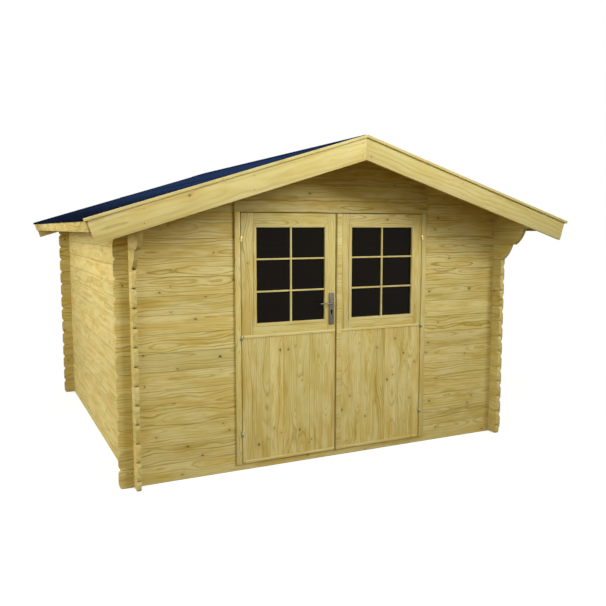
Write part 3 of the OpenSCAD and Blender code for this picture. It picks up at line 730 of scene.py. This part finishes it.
class CHALET_OT_log_walls(bpy.types.Operator):
    """Grain on the logs of the walls, on the brackets, plates, purlins and joists"""
    bl_idname = "chalet.log_walls"
    bl_label = "Log walls"

    def execute(self, context):
        across_front, along_side = wall_lays()
        half = context.scene.chalet_sizes.log_h / 2
        front = pine("front_log_pine", across_front, ring=0.018, knots=0.6, joint=half)
        # The gable logs lie in the overhang's shade: their more golden, darker pine is partly their own tone
        # and partly painted shade
        gable = pine("gable_log_pine", across_front, ring=0.018, knots=0.6, pale=-0.35, joint=half)
        flank = pine("side_log_pine", along_side, ring=0.030, figure=0.7, pale=0.3, joint=half)
        refinish(front, "front_sill_log", "front_wall_left", "front_wall_right", "back_wall", "floor_joists")
        refinish(gable, "front_gable", "back_gable")
        refinish(flank, "ridge_purlin", "side_purlins")
        for side in SIDES:
            refinish(flank, side + "_wall", side + "_bracket_logs", side + "_wall_plate")
        return {"FINISHED"}


class CHALET_OT_roof_boards(bpy.types.Operator):
    """Boards with V-joints under both slopes of the roof"""
    bl_idname = "chalet.roof_boards"
    bl_label = "Roof boards"

    def execute(self, context):
        sizes = context.scene.chalet_sizes
        low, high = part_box("right_roof_boards")
        top = -sizes.felt_t - sizes.clearance
        foot = -sizes.felt_t - sizes.roof_board_t
        end = (high.x - top * math.sin(sizes.roof_pitch)) / math.cos(sizes.roof_pitch)
        count = round((high.y - low.y) / sizes.roof_board_w)
        pitch = (high.y - low.y) / count
        board = block("roof_board", (-sizes.past_ridge, low.y, foot),
                      (end, low.y + pitch - sizes.board_gap, top))
        soften(board, lambda e: runs(e, 0) and lies(e, 2, foot), sizes.v_joint)
        lay_on_slope(board)
        cut_at_ridge(board, low.x)
        right = row(board, "right_roof_boarding", [(0, i * pitch, 0) for i in range(1, count)])
        left = mirrored(right, "left_roof_boarding")
        down_slope = slope_lay(0)

        def under_roof(f, x, y, z):
            run, deep, _, slope = down_slope(f, x, y, z)
            board = ((y - low.y) / pitch).floor()
            return run, y - low.y - (board + 0.5) * pitch, deep, board + slope * OTHER_SLOPE

        finish = pine("roof_board_pine", under_roof, ring=0.014, joint=pitch / 2)
        hand_over(left, "cabin", "board_pine", finish, "left_roof_boards")
        hand_over(right, "cabin", "board_pine", finish, "right_roof_boards")
        return {"FINISHED"}


class CHALET_OT_roof_felt(bpy.types.Operator):
    """Lengths of felt that lap down each slope and turn down at the eave"""
    bl_idname = "chalet.roof_felt"
    bl_label = "Roofing felt"

    def execute(self, context):
        sizes = context.scene.chalet_sizes
        low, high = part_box("right_roof_felt")
        cos = math.cos(sizes.roof_pitch)
        end = high.x / cos
        lap_top = end - sizes.felt_roll
        lap_foot = lap_top + sizes.felt_lap
        upper = self.length("upper_felt", -sizes.past_ridge, lap_foot, low.y, high.y)
        lower = self.length("lower_felt", lap_top, end, low.y, high.y)
        choose(upper, "EDGE", lambda e: lies(e, 0, lap_foot))
        bpy.ops.transform.translate(value=(0, 0, sizes.felt_lift))
        choose(lower, "EDGE", lambda e: lies(e, 0, end))
        bpy.ops.mesh.extrude_region_move(TRANSFORM_OT_translate={"value": (0, 0, -sizes.felt_lip)})
        bpy.ops.object.mode_set(mode="OBJECT")
        for piece in (upper, lower):
            only(piece)
            wall = piece.modifiers.new("felt", "SOLIDIFY")
            wall.thickness = sizes.felt_t - 2 * sizes.clearance
            wall.offset = -1
            wall.use_even_offset = True
            bpy.ops.object.modifier_apply(modifier=wall.name)
            lay_on_slope(piece)
        cut_at_ridge(upper, low.x)
        right = joined("right_felt_lengths", [upper, lower])
        left = mirrored(right, "left_felt_lengths")
        finish = roofing([lap_foot * cos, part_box("ridge_felt")[1].x])
        hand_over(left, "cabin", "roofing_felt", finish, "left_roof_felt")
        hand_over(right, "cabin", "roofing_felt", finish, "right_roof_felt")
        refinish(finish, "ridge_felt")
        return {"FINISHED"}

    def length(self, name, start, end, front, back):
        """A flat length of felt from start to end down the slope, drawn level at the height 0."""
        columns, rows = 8, 24
        nothing_selected()
        bpy.ops.mesh.primitive_grid_add(x_subdivisions=columns, y_subdivisions=rows, size=1,
                                        location=((start + end) / 2, (front + back) / 2, 0))
        bpy.context.object.scale = (end - start, back - front, 1)
        return settle(name)


class CHALET_OT_roof_trim(bpy.types.Operator):
    """Bargeboards, cap strips and eave boards with softened edges"""
    bl_idname = "chalet.roof_trim"
    bl_label = "Roof trim"

    def execute(self, context):
        sizes = context.scene.chalet_sizes
        barge = pine("bargeboard_pine", slope_lay(-sizes.cap_t - sizes.barge_h / 2),
                     ring=0.030, figure=0.8, knots=0.25, pale=0.6)
        cap = pine("cap_pine", slope_lay(-sizes.cap_t / 2), ring=0.016, knots=0.1, pale=0.9)
        eave = middle("right_eave_board")

        def along_eave(f, x, y, z):
            return y, z - eave.z, abs(x) - eave.x, (x > 0.0) + FIRST["eave_boards"]

        for kind, finish in (("bargeboards", barge), ("cap_strips", cap)):
            for end in ("front", "back"):
                planed(end + "_" + kind, "cabin", "trim_pine", finish)
        finish = pine("eave_pine", along_eave, ring=0.018, knots=0.15, pale=-0.3)
        for side in SIDES:
            planed(side + "_eave_board", "cabin", "trim_pine", finish)
        return {"FINISHED"}


class CHALET_OT_door_frame(bpy.types.Operator):
    """Jambs and header with softened edges"""
    bl_idname = "chalet.door_frame"
    bl_label = "Door frame"

    def execute(self, context):
        jamb, header = middle("right_jamb"), middle("door_header")

        def up_jamb(f, x, y, z):
            return z, abs(x) - jamb.x, y - jamb.y, (x > 0.0) + FIRST["jambs"]

        def along_header(f, x, y, z):
            return x, z - header.z, y - header.y, FIRST["header"]

        upright = pine("jamb_pine", up_jamb, ring=0.012, knots=0.12, pale=0.3)
        # The header lies in the overhang's shade: its more golden, darker pine is partly its own tone and
        # partly painted shade
        level = pine("header_pine", along_header, knots=0.3, pale=-0.35)
        for side in SIDES:
            planed(side + "_jamb", "cabin", "door_pine", upright)
        planed("door_header", "cabin", "door_pine", level)
        return {"FINISHED"}


class CHALET_OT_door_leaves(bpy.types.Operator):
    """Stiles, rails, beads, panes and the meeting strip"""
    bl_idname = "chalet.door_leaves"
    bl_label = "Door leaves"

    def execute(self, context):
        sizes = context.scene.chalet_sizes
        strip = middle("meeting_strip")

        def level_strip(f, x, y, z):
            """The meeting strip shows level figure, as if it were cut across a log."""
            course = (z / sizes.log_h).floor()
            across = z - (course + 0.5) * sizes.log_h
            return x - strip.x, across, y - strip.y, course + FIRST["meeting_strip"]

        frame_pine = pine("leaf_frame_pine", self.framed(0.0), ring=0.016, knots=0.25)
        bead_pine = pine("bead_pine", self.framed(sizes.bead_w), ring=0.012, knots=0.1, pale=0.3)
        strip_pine = pine("meeting_strip_pine", level_strip, ring=0.015, figure=0.7, knots=0.6, pale=0.35)
        glass = pane()
        for side in SIDES:
            body = side + "_door"
            planed(side + "_door_frame", body, "door_pine", frame_pine)
            planed(side + "_glazing_beads", body, "door_pine", bead_pine)
            refinish(glass, side + "_door_glass")
        planed("meeting_strip", "right_door", "door_pine", strip_pine)
        return {"FINISHED"}

    def framed(self, inset):
        """Lay of the grain along stiles and rails, or along beads of the width inset."""
        left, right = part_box("left_door_glass"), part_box("right_door_glass")
        deep = middle("left_door_frame").y

        # Each zone of a leaf's height or width holds one rail or one stile
        rails_per_m, first_rail, rail_step = 1.3, 0.10, 0.83
        stile_zone, first_stile, stile_step, right_stiles = 0.37, 0.25, 0.5, 0.05
        first_level, right_level = 9.0, 7.0

        def along(f, x, y, z):
            in_left = (x > left[0].x + inset) * (x < left[1].x - inset)
            in_right = (x > right[0].x + inset) * (x < right[1].x - inset)
            level = in_left + in_right
            rail = (z * rails_per_m).floor()
            stile = (x / stile_zone).floor()
            rail_mid = first_rail + rail * rail_step
            stile_mid = stile * stile_step + first_stile - (x > 0.0) * right_stiles
            across = (x - stile_mid) + level * (z - rail_mid - x + stile_mid)
            number = stile + level * (rail + in_right * right_level + first_level - stile)
            return z + level * (x - z), across, y - deep, number + FIRST["leaf_frames"]

        return along


class CHALET_OT_door_boards(bpy.types.Operator):
    """Upright boards on the lower half of each leaf, under a trim strip and over a foot strip"""
    bl_idname = "chalet.door_boards"
    bl_label = "Door boards"

    def execute(self, context):
        sizes = context.scene.chalet_sizes
        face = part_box("left_door_frame")[0].y
        for side in SIDES:
            low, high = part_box(side + "_door_boarding")
            pitch = (high.x - low.x) / sizes.door_board_count
            board = block("door_board", (low.x, face, low.z),
                          (low.x + pitch - sizes.board_gap, high.y, high.z - sizes.trim_h / 2))
            soften(board, lambda e: runs(e, 2) and lies(e, 1, face), sizes.door_joint)
            steps = [(i * pitch, 0, 0) for i in range(1, sizes.door_board_count)]
            boards = row(board, "door_boards", steps)
            if side == "left":
                start, end = low.x + sizes.strip_outer, high.x - sizes.strip_inner
            else:
                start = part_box("meeting_strip")[1].x + sizes.strip_inner
                end = high.x - sizes.strip_outer
            back = face - sizes.strip_seat
            trim = self.strip("trim", (start, low.y, high.z - sizes.trim_h), (end, back, high.z), sizes)
            foot = self.strip("foot_strip", (start, low.y, low.z),
                              (end, back, low.z + sizes.foot_strip_h), sizes)

            def along_strip(f, x, y, z):
                upper = z > (low.z + high.z) / 2
                return x, z - high.z, y - face, upper + FIRST["door_strips"]

            up_boards = strips(pitch, low.x, (2, 0, 1), (face + high.y) / 2, FIRST[side + "_door_boards"])
            upright = pine(side + "_door_board_pine", up_boards, ring=0.016, figure=1.2, knots=0.6,
                           pale=-0.15)
            level = pine(side + "_trim_strip_pine", along_strip, ring=0.012, knots=0.1, pale=0.6)
            boards.data.materials.append(upright)
            for strip in (trim, foot):
                strip.data.materials.append(level)
            piece = joined(side + "_door_boards", [boards, trim, foot])
            hand_over(piece, side + "_door", "door_pine", None, side + "_door_boarding")
        return {"FINISHED"}

    def strip(self, name, low, high, sizes):
        """A level strip with a sloping upper edge and a rounded face."""
        front, top = low[1], high[2]
        strip = block(name, low, high)
        soften(strip, lambda e: runs(e, 0) and lies(e, 1, front) and lies(e, 2, top), sizes.strip_slope)
        return soften(strip, lambda e: lies(e, 1, front), sizes.soft_edge, 2)


class CHALET_OT_window_bars(bpy.types.Operator):
    """Glazing bars on both faces of each pane"""
    bl_idname = "chalet.window_bars"
    bl_label = "Window bars"

    def execute(self, context):
        sizes = context.scene.chalet_sizes
        numbers_per_m = 4.0
        gap = 2 * sizes.clearance
        inset = Vector((sizes.bead_w, 0, sizes.bead_w))
        for side in SIDES:
            glass_low, glass_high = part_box(side + "_door_glass")
            bead_low, bead_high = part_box(side + "_glazing_beads")
            low, high = glass_low + inset, glass_high - inset
            outer, inner = bead_low.y + sizes.bar_set_back, bead_high.y - sizes.bar_set_back
            bars = self.bars(low, high, outer, glass_low.y - gap, outer, sizes)
            bars += self.bars(low, high, glass_high.y + gap, inner, inner, sizes)
            piece = joined(side + "_window_bars", bars)
            mid = (low.x + high.x) / 2

            def up_bars(f, x, y, z):
                number = (x * numbers_per_m).floor() + FIRST["window_bars"]
                return z, x - mid, y - glass_low.y, number

            finish = pine(side + "_bar_pine", up_bars, ring=0.008, knots=0.05, pale=0.6)
            hand_over(piece, side + "_door", "door_pine", finish)
        return {"FINISHED"}

    def bars(self, low, high, front, back, shown, sizes):
        """An upright bar between front and back with half cross bars, chamfered at the shown face."""
        mid = (low.x + high.x) / 2
        left, right = mid - sizes.bar_w / 2, mid + sizes.bar_w / 2
        pane_h = (high.z - low.z - (sizes.bar_rows - 1) * sizes.bar_h) / sizes.bar_rows
        first, step = low.z + pane_h, pane_h + sizes.bar_h
        upright = block("upright_bar", (left, front, low.z), (right, back, high.z))
        soften(upright, lambda e: runs(e, 2) and lies(e, 1, shown), sizes.bar_chamfer)
        half = block("cross_bar", (low.x, front, first), (left, back, first + sizes.bar_h))
        soften(half, lambda e: runs(e, 0) and lies(e, 1, shown), sizes.bar_chamfer)
        steps = [(across, 0, i * step) for i in range(sizes.bar_rows - 1) for across in (0, right - low.x)]
        return [upright, row(half, "cross_bars", steps[1:])]


class CHALET_OT_hinges(bpy.types.Operator):
    """Barrel hinges: the lower halves on the jambs, the upper halves on the leaves"""
    bl_idname = "chalet.hinges"
    bl_label = "Hinges"

    def execute(self, context):
        sizes, tones = context.scene.chalet_sizes, context.scene.chalet_colours
        upright_marks = (160.0, 160.0, 40.0)
        zinc = metal("zinc_hinge", tones.zinc, 0.46, upright_marks)
        # The leaves' halves get the lighter zinc, a painted highlight
        highlit_zinc = metal("light_zinc_hinge", tones.zinc_highlight, 0.40, upright_marks)
        brass = metal("brass_hinge", tones.brass, 0.22, upright_marks)
        x, y, _ = pivot("right_door_swing")
        low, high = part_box("right_hinge_pins")
        leaf_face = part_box("right_hinge_knuckles")[1].y
        first, last = low.z + sizes.barrel_l, high.z - sizes.pin_l
        heights = [first, (first + last) / 2, last]

        # The pin starts inside the lower barrel and ends short of the bore's end
        rooted, short = 0.002, 0.0005
        lower = self.half("lower_half", x, y, (-sizes.barrel_l, -sizes.clearance), 1, high.y, sizes)
        pin = rod("pin", sizes.pin_r, (x, y, -rooted), (x, y, sizes.pin_l - short), 16)
        lower = joined("lower_half", [lower, pin])
        upper = self.half("upper_half", x, y, (sizes.clearance, sizes.barrel_l), -1, leaf_face, sizes)
        for half, node, on_leaf, plated in ((lower, "hinge_pins", False, zinc),
                                            (upper, "hinge_knuckles", True, highlit_zinc)):
            made = []
            for height in heights:
                copy = twin(half, "hinge", Matrix.Translation((0, 0, height)))
                copy.data.materials.clear()
                copy.data.materials.append(brass if height == last else plated)
                made.append(copy)
            right = joined("right_" + node + "_turned", made)
            round_off(right)
            left = mirrored(right, "left_" + node + "_turned")
            for side, piece in (("right", right), ("left", left)):
                body = side + "_door" if on_leaf else "cabin"
                hand_over(piece, body, "zinc_steel", None, side + "_" + node)
            bpy.data.objects.remove(half)
        return {"FINISHED"}

    def half(self, name, x, y, span, way, seat, sizes):
        """Half a hinge: a barrel with a domed outer end, and a stem towards the wood."""
        barrel = rod("barrel", sizes.barrel_r, (x, y, span[0]), (x, y, span[1]))
        outer = span[0] if way > 0 else span[1]
        soften(barrel, lambda e: lies(e, 2, outer), sizes.barrel_dome, 3)
        overlap = 0.0015
        inside = x + way * (sizes.barrel_r - overlap)
        outside = x + way * sizes.stem_l
        mid = (span[0] + span[1]) / 2
        stem = block("stem", (min(inside, outside), y, mid - sizes.stem_h / 2),
                     (max(inside, outside), seat, mid + sizes.stem_h / 2))
        soften(stem, lambda e: runs(e, 1) and lies(e, 0, outside), sizes.stem_round, 2)
        return joined(name, [barrel, stem])


class CHALET_OT_lock(bpy.types.Operator):
    """Lock plates with a hole for the lock cylinder, and the lever on both faces"""
    bl_idname = "chalet.lock"
    bl_label = "Lock and lever"

    def execute(self, context):
        sizes, tones = context.scene.chalet_sizes, context.scene.chalet_colours
        x, _, z = pivot("lever_turn")
        low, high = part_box("lock_plates")
        mid = (low.y + high.y) / 2
        flip = Matrix.Translation((0, 2 * mid, 0)) @ Matrix.Scale(-1, 4, (0, 1, 0))
        plate = self.plate(x, z - sizes.lock_drop, low, high, sizes, tones)
        plates = joined("lock_plates_turned", [plate, twin(plate, "plate_inside", flip)])
        round_off(plates)
        hand_over(plates, "left_door", "satin_steel", None, "lock_plates")

        lever = self.lever(x, z, low.y, sizes)
        levers = joined("lever_turned", [lever, twin(lever, "lever_inside", flip)])
        round_off(levers, 50)
        steel = metal("satin_lever", tones.steel, 0.46, (40.0, 400.0, 400.0))
        hand_over(levers, "lever", "satin_steel", steel, "lever_handle")
        return {"FINISHED"}

    def plate(self, x, lock_z, low, high, sizes, tones):
        """The outer lock plate with the lock cylinder's hole and two screws."""
        plate = block("plate", low, (high.x, low.y + sizes.plate_t, high.z))
        soften(plate, lambda e: runs(e, 1), sizes.plate_corner, 4)
        soften(plate, lambda e: lies(e, 1, low.y), sizes.soft_edge, 2)
        front, depth = low.y - sizes.plate_t, low.y + sizes.lock_deep
        slot_foot = lock_z - sizes.lock_slot_l
        round_part = rod("cutter", sizes.lock_r, (x, front, lock_z), (x, depth, lock_z), 32)
        slot_part = block("slot", (x - sizes.lock_slot_w, front, slot_foot),
                          (x + sizes.lock_slot_w, depth, lock_z))
        for cutter in (round_part, slot_part):
            only(plate)
            hole = plate.modifiers.new("hole", "BOOLEAN")
            hole.object = cutter
            hole.operation = "DIFFERENCE"
            hole.solver = "EXACT"
            bpy.ops.object.modifier_apply(modifier=hole.name)
            bpy.data.objects.remove(cutter)
        steel = metal("satin_plate", tones.plate, 0.42, (40.0, 400.0, 900.0))
        plate.data.materials.clear()
        plate.data.materials.append(steel)
        plate.data.materials.append(lock_hole())
        margin = 10 * NEAR

        def in_hole(face):
            at = face.calc_center_median()
            return (abs(at.x - x) < sizes.lock_r + margin
                    and slot_foot - margin < at.z < lock_z + sizes.lock_r + margin
                    and low.y + margin < at.y < depth + margin)

        # The faces inside the hole get the painted shade
        choose(plate, "FACE", in_hole)
        plate.active_material_index = 1
        bpy.ops.object.material_slot_assign()
        bpy.ops.object.mode_set(mode="OBJECT")
        lower, upper = low.z + sizes.screw_in, high.z - sizes.screw_in
        head, rooted, rim = low.y - sizes.screw_proud, 0.002, 0.0005
        screw = rod("screw", sizes.screw_r, (x, head, lower), (x, low.y + rooted, lower), 20)
        soften(screw, lambda e: lies(e, 1, head), rim, 2)
        screw.data.materials.append(steel)
        return joined("plate", [plate, row(screw, "screws", [(0, 0, upper - lower)])])

    def lever(self, x, z, face, sizes):
        """A rose and neck that turn into a tapering arm with a rounded tip."""
        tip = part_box("lever_handle")[0]
        seat, rim, step = 2 * sizes.clearance, 0.001, 0.0005
        rim_scale, neck_scale = 0.9, 0.50
        nothing_selected()
        bpy.ops.mesh.primitive_circle_add(vertices=24, radius=sizes.rose_r, fill_type="NGON",
                                          location=(x, face - seat, z), rotation=(math.pi / 2, 0, 0))
        lever = settle("lever_outside")
        only(lever)
        bpy.ops.object.mode_set(mode="EDIT")
        bpy.ops.mesh.select_all(action="SELECT")

        def grow(shift, scale=1.0):
            bpy.ops.mesh.extrude_region_move(TRANSFORM_OT_translate={"value": shift})
            if scale != 1.0:
                mesh = bmesh.from_edit_mesh(lever.data)
                picked = [v.co for v in mesh.verts if v.select]
                centre = sum(picked, Vector()) / len(picked)
                bpy.ops.transform.resize(value=(scale,) * 3, center_override=centre)

        arm_y = tip.y + sizes.neck_r
        bend_y = arm_y + sizes.bend_r
        grow((0, -sizes.rose_t, 0))
        grow((0, -rim, 0), rim_scale)
        grow((0, -step, 0), neck_scale)
        grow((0, bend_y - (face - seat - sizes.rose_t - rim - step), 0))
        bpy.ops.mesh.spin(steps=7, angle=math.pi / 2, center=(x - sizes.bend_r, bend_y, z), axis=(0, 0, 1))
        reach = x - sizes.bend_r - tip.x
        for share, scale in ((0.45, 0.95), (0.45, 0.9), (0.07, 0.8), (0.03, 0.45)):
            grow((-reach * share, 0, 0), scale)
        bpy.ops.mesh.select_all(action="SELECT")
        bpy.ops.mesh.remove_doubles(threshold=NEAR)
        bpy.ops.mesh.normals_make_consistent(inside=False)
        bpy.ops.object.mode_set(mode="OBJECT")
        return lever


class CHALET_OT_floor_boards(bpy.types.Operator):
    """Floor boards that run from front to back"""
    bl_idname = "chalet.floor_boards"
    bl_label = "Floor boards"

    def execute(self, context):
        sizes = context.scene.chalet_sizes
        low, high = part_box("floor_boards")
        count = round((high.x - low.x) / sizes.floor_board_w)
        pitch = (high.x - low.x) / count
        board = block("floor_board", low, (low.x + pitch - sizes.board_gap, high.y, high.z))
        soften(board, lambda e: runs(e, 1) and lies(e, 2, high.z), sizes.v_joint / 2)
        boards = row(board, "floor_boarding", [(i * pitch, 0, 0) for i in range(1, count)])
        along_boards = strips(pitch, low.x, (1, 0, 2), low.z, FIRST["floor_boards"])
        finish = pine("floor_pine", along_boards, ring=0.014, joint=pitch / 2)
        hand_over(boards, "cabin", "board_pine", finish, "floor_boards")
        return {"FINISHED"}


class CHALET_OT_nails(bpy.types.Operator):
    """Nail heads in the bargeboards"""
    bl_idname = "chalet.nails"
    bl_label = "Nails"

    def execute(self, context):
        sizes = context.scene.chalet_sizes
        zinc = metal("nail_zinc", context.scene.chalet_colours.zinc, 0.45, (300.0, 300.0, 300.0))
        pitch, ridge = sizes.roof_pitch, ridge_height()
        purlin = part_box("side_purlins")[1].x - sizes.purlin_t / 2
        columns = (sizes.nail_ridge, purlin, middle("right_wall_plate").x)
        rows = (sizes.nail_upper, sizes.nail_lower)
        front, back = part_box("front_bargeboards")[0].y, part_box("back_bargeboards")[1].y
        nail = rod("nail", sizes.nail_r, (0, 0, 0), (0, -sizes.nail_proud, 0), 12)
        soften(nail, lambda e: lies(e, 1, -sizes.nail_proud), sizes.nail_proud * 0.6, 2)
        heads = []
        for face, turn in ((front, 0), (back, math.pi)):
            for out, drop, side in itertools.product(columns, rows, SIDES.values()):
                z = ridge - out * math.tan(pitch) - drop / math.cos(pitch)
                at = Matrix.Translation((side * out, face, z))
                heads.append(twin(nail, "nail", at @ Matrix.Rotation(turn, 4, "Z")))
        bpy.data.objects.remove(nail)
        nails = joined("bargeboard_nails", heads)
        round_off(nails)
        hand_over(nails, "cabin", "zinc_steel", zinc)
        return {"FINISHED"}


class CHALET_OT_studio(bpy.types.Operator):
    """Pale floor, soft light and the camera"""
    bl_idname = "chalet.studio"
    bl_label = "Studio"

    def execute(self, context):
        studio = context.scene.chalet_studio
        nothing_selected()
        bpy.ops.mesh.primitive_circle_add(vertices=96, radius=studio.floor_r, fill_type="NGON",
                                          location=(0, 0, -studio.floor_drop))
        floor = settle("studio_floor")
        floor.data.materials.append(self.floor_finish(studio))
        self.sky(context.scene, studio)
        for name in ("key", "side", "front"):
            self.lamp(name, studio)
        bpy.ops.object.camera_add(location=studio.camera_place,
                                  rotation=(math.pi / 2 - studio.camera_dip, 0, -studio.camera_yaw))
        camera = context.object
        camera.data.lens = studio.camera_lens
        camera.data.clip_end = 4 * studio.floor_r
        context.scene.camera = camera
        context.scene.view_settings.view_transform = "Standard"
        return {"FINISHED"}

    def lamp(self, name, studio):
        """A wide soft lamp that points at a place from a direction, as its settings say."""
        turn, rise = getattr(studio, name + "_turn"), getattr(studio, name + "_rise")
        away = Vector((math.sin(turn) * math.cos(rise), -math.cos(turn) * math.cos(rise), math.sin(rise)))
        aim = Vector(getattr(studio, name + "_aim"))
        bpy.ops.object.light_add(type="SPOT", location=aim + away * studio.lamp_away,
                                 rotation=(math.pi / 2 - rise, 0, turn))
        lamp = bpy.context.object
        lamp.name = lamp.data.name = name + "_lamp"
        lamp.data.energy = getattr(studio, name + "_power")
        lamp.data.color = getattr(studio, name + "_tone")
        lamp.data.shadow_soft_size = studio.lamp_r
        lamp.data.spot_size = studio.lamp_cone
        lamp.data.spot_blend = 1.0

    def floor_finish(self, studio):
        """A warm floor to the light, and a white one with the building's shadow to the camera."""
        f = Finish.named("studio_floor")
        warm = f.add("ShaderNodeBsdfDiffuse", None, {"Color": (*studio.floor_tone, 1)})
        white = f.add("ShaderNodeEmission", None, {"Color": (1, 1, 1, 1), "Strength": studio.floor_glow})
        even = [studio.floor_shade / part for part in studio.sky_tone]
        pale = f.add("ShaderNodeBsdfDiffuse", None, {"Color": (*even, 1)})
        shown = f.add("ShaderNodeAddShader", None, {0: white, 1: pale})
        f.add("ShaderNodeOutputMaterial", None,
              {"Surface": f.add("ShaderNodeMixShader", None, {0: f.seen(), 1: warm, 2: shown})})
        return f.owner

    def sky(self, scene, studio):
        """Even light from all round, white behind the building."""
        f = Finish(bpy.data.worlds.new("studio_sky"))
        light = f.add("ShaderNodeBackground", None,
                      {"Color": (*studio.sky_tone, 1), "Strength": studio.sky})
        white = f.add("ShaderNodeBackground", None, {"Color": (1, 1, 1, 1), "Strength": 1.0})
        f.add("ShaderNodeOutputWorld", None,
              {"Surface": f.add("ShaderNodeMixShader", None, {0: f.seen(), 1: light, 2: white})})
        scene.world = f.owner


OPERATORS = (CHALET_OT_log_walls, CHALET_OT_roof_boards, CHALET_OT_roof_felt, CHALET_OT_roof_trim,
             CHALET_OT_door_frame, CHALET_OT_door_leaves, CHALET_OT_door_boards, CHALET_OT_window_bars,
             CHALET_OT_hinges, CHALET_OT_lock, CHALET_OT_floor_boards, CHALET_OT_nails, CHALET_OT_studio)


GROUPS = {"chalet_sizes": ChaletSizes, "chalet_colours": ChaletColours, "chalet_studio": ChaletStudio}


class CHALET_PT_panel(bpy.types.Panel):
    """The chalet's pieces, sizes and colours"""
    bl_idname = "CHALET_PT_panel"
    bl_label = "Chalet"
    bl_space_type = "VIEW_3D"
    bl_region_type = "UI"
    bl_category = "Chalet"

    def draw(self, context):
        for operator in OPERATORS:
            self.layout.operator(operator.bl_idname)
        for name, group in GROUPS.items():
            column = self.layout.column()
            for key in group.__annotations__:
                column.prop(getattr(context.scene, name), key)


CLASSES = (*GROUPS.values(), *OPERATORS, CHALET_PT_panel)


def register():
    for cls in CLASSES:
        bpy.utils.register_class(cls)
    for name, group in GROUPS.items():
        setattr(bpy.types.Scene, name, PointerProperty(type=group))


def unregister():
    for name in GROUPS:
        delattr(bpy.types.Scene, name)
    for cls in reversed(CLASSES):
        bpy.utils.unregister_class(cls)


def main():
    register()
    bpy.ops.chalet.log_walls()
    bpy.ops.chalet.roof_boards()
    bpy.ops.chalet.roof_felt()
    bpy.ops.chalet.roof_trim()
    bpy.ops.chalet.door_frame()
    bpy.ops.chalet.door_leaves()
    bpy.ops.chalet.door_boards()
    bpy.ops.chalet.window_bars()
    bpy.ops.chalet.hinges()
    bpy.ops.chalet.lock()
    bpy.ops.chalet.floor_boards()
    bpy.ops.chalet.nails()
    bpy.ops.chalet.studio()


if __name__ == "__main__":
    main()
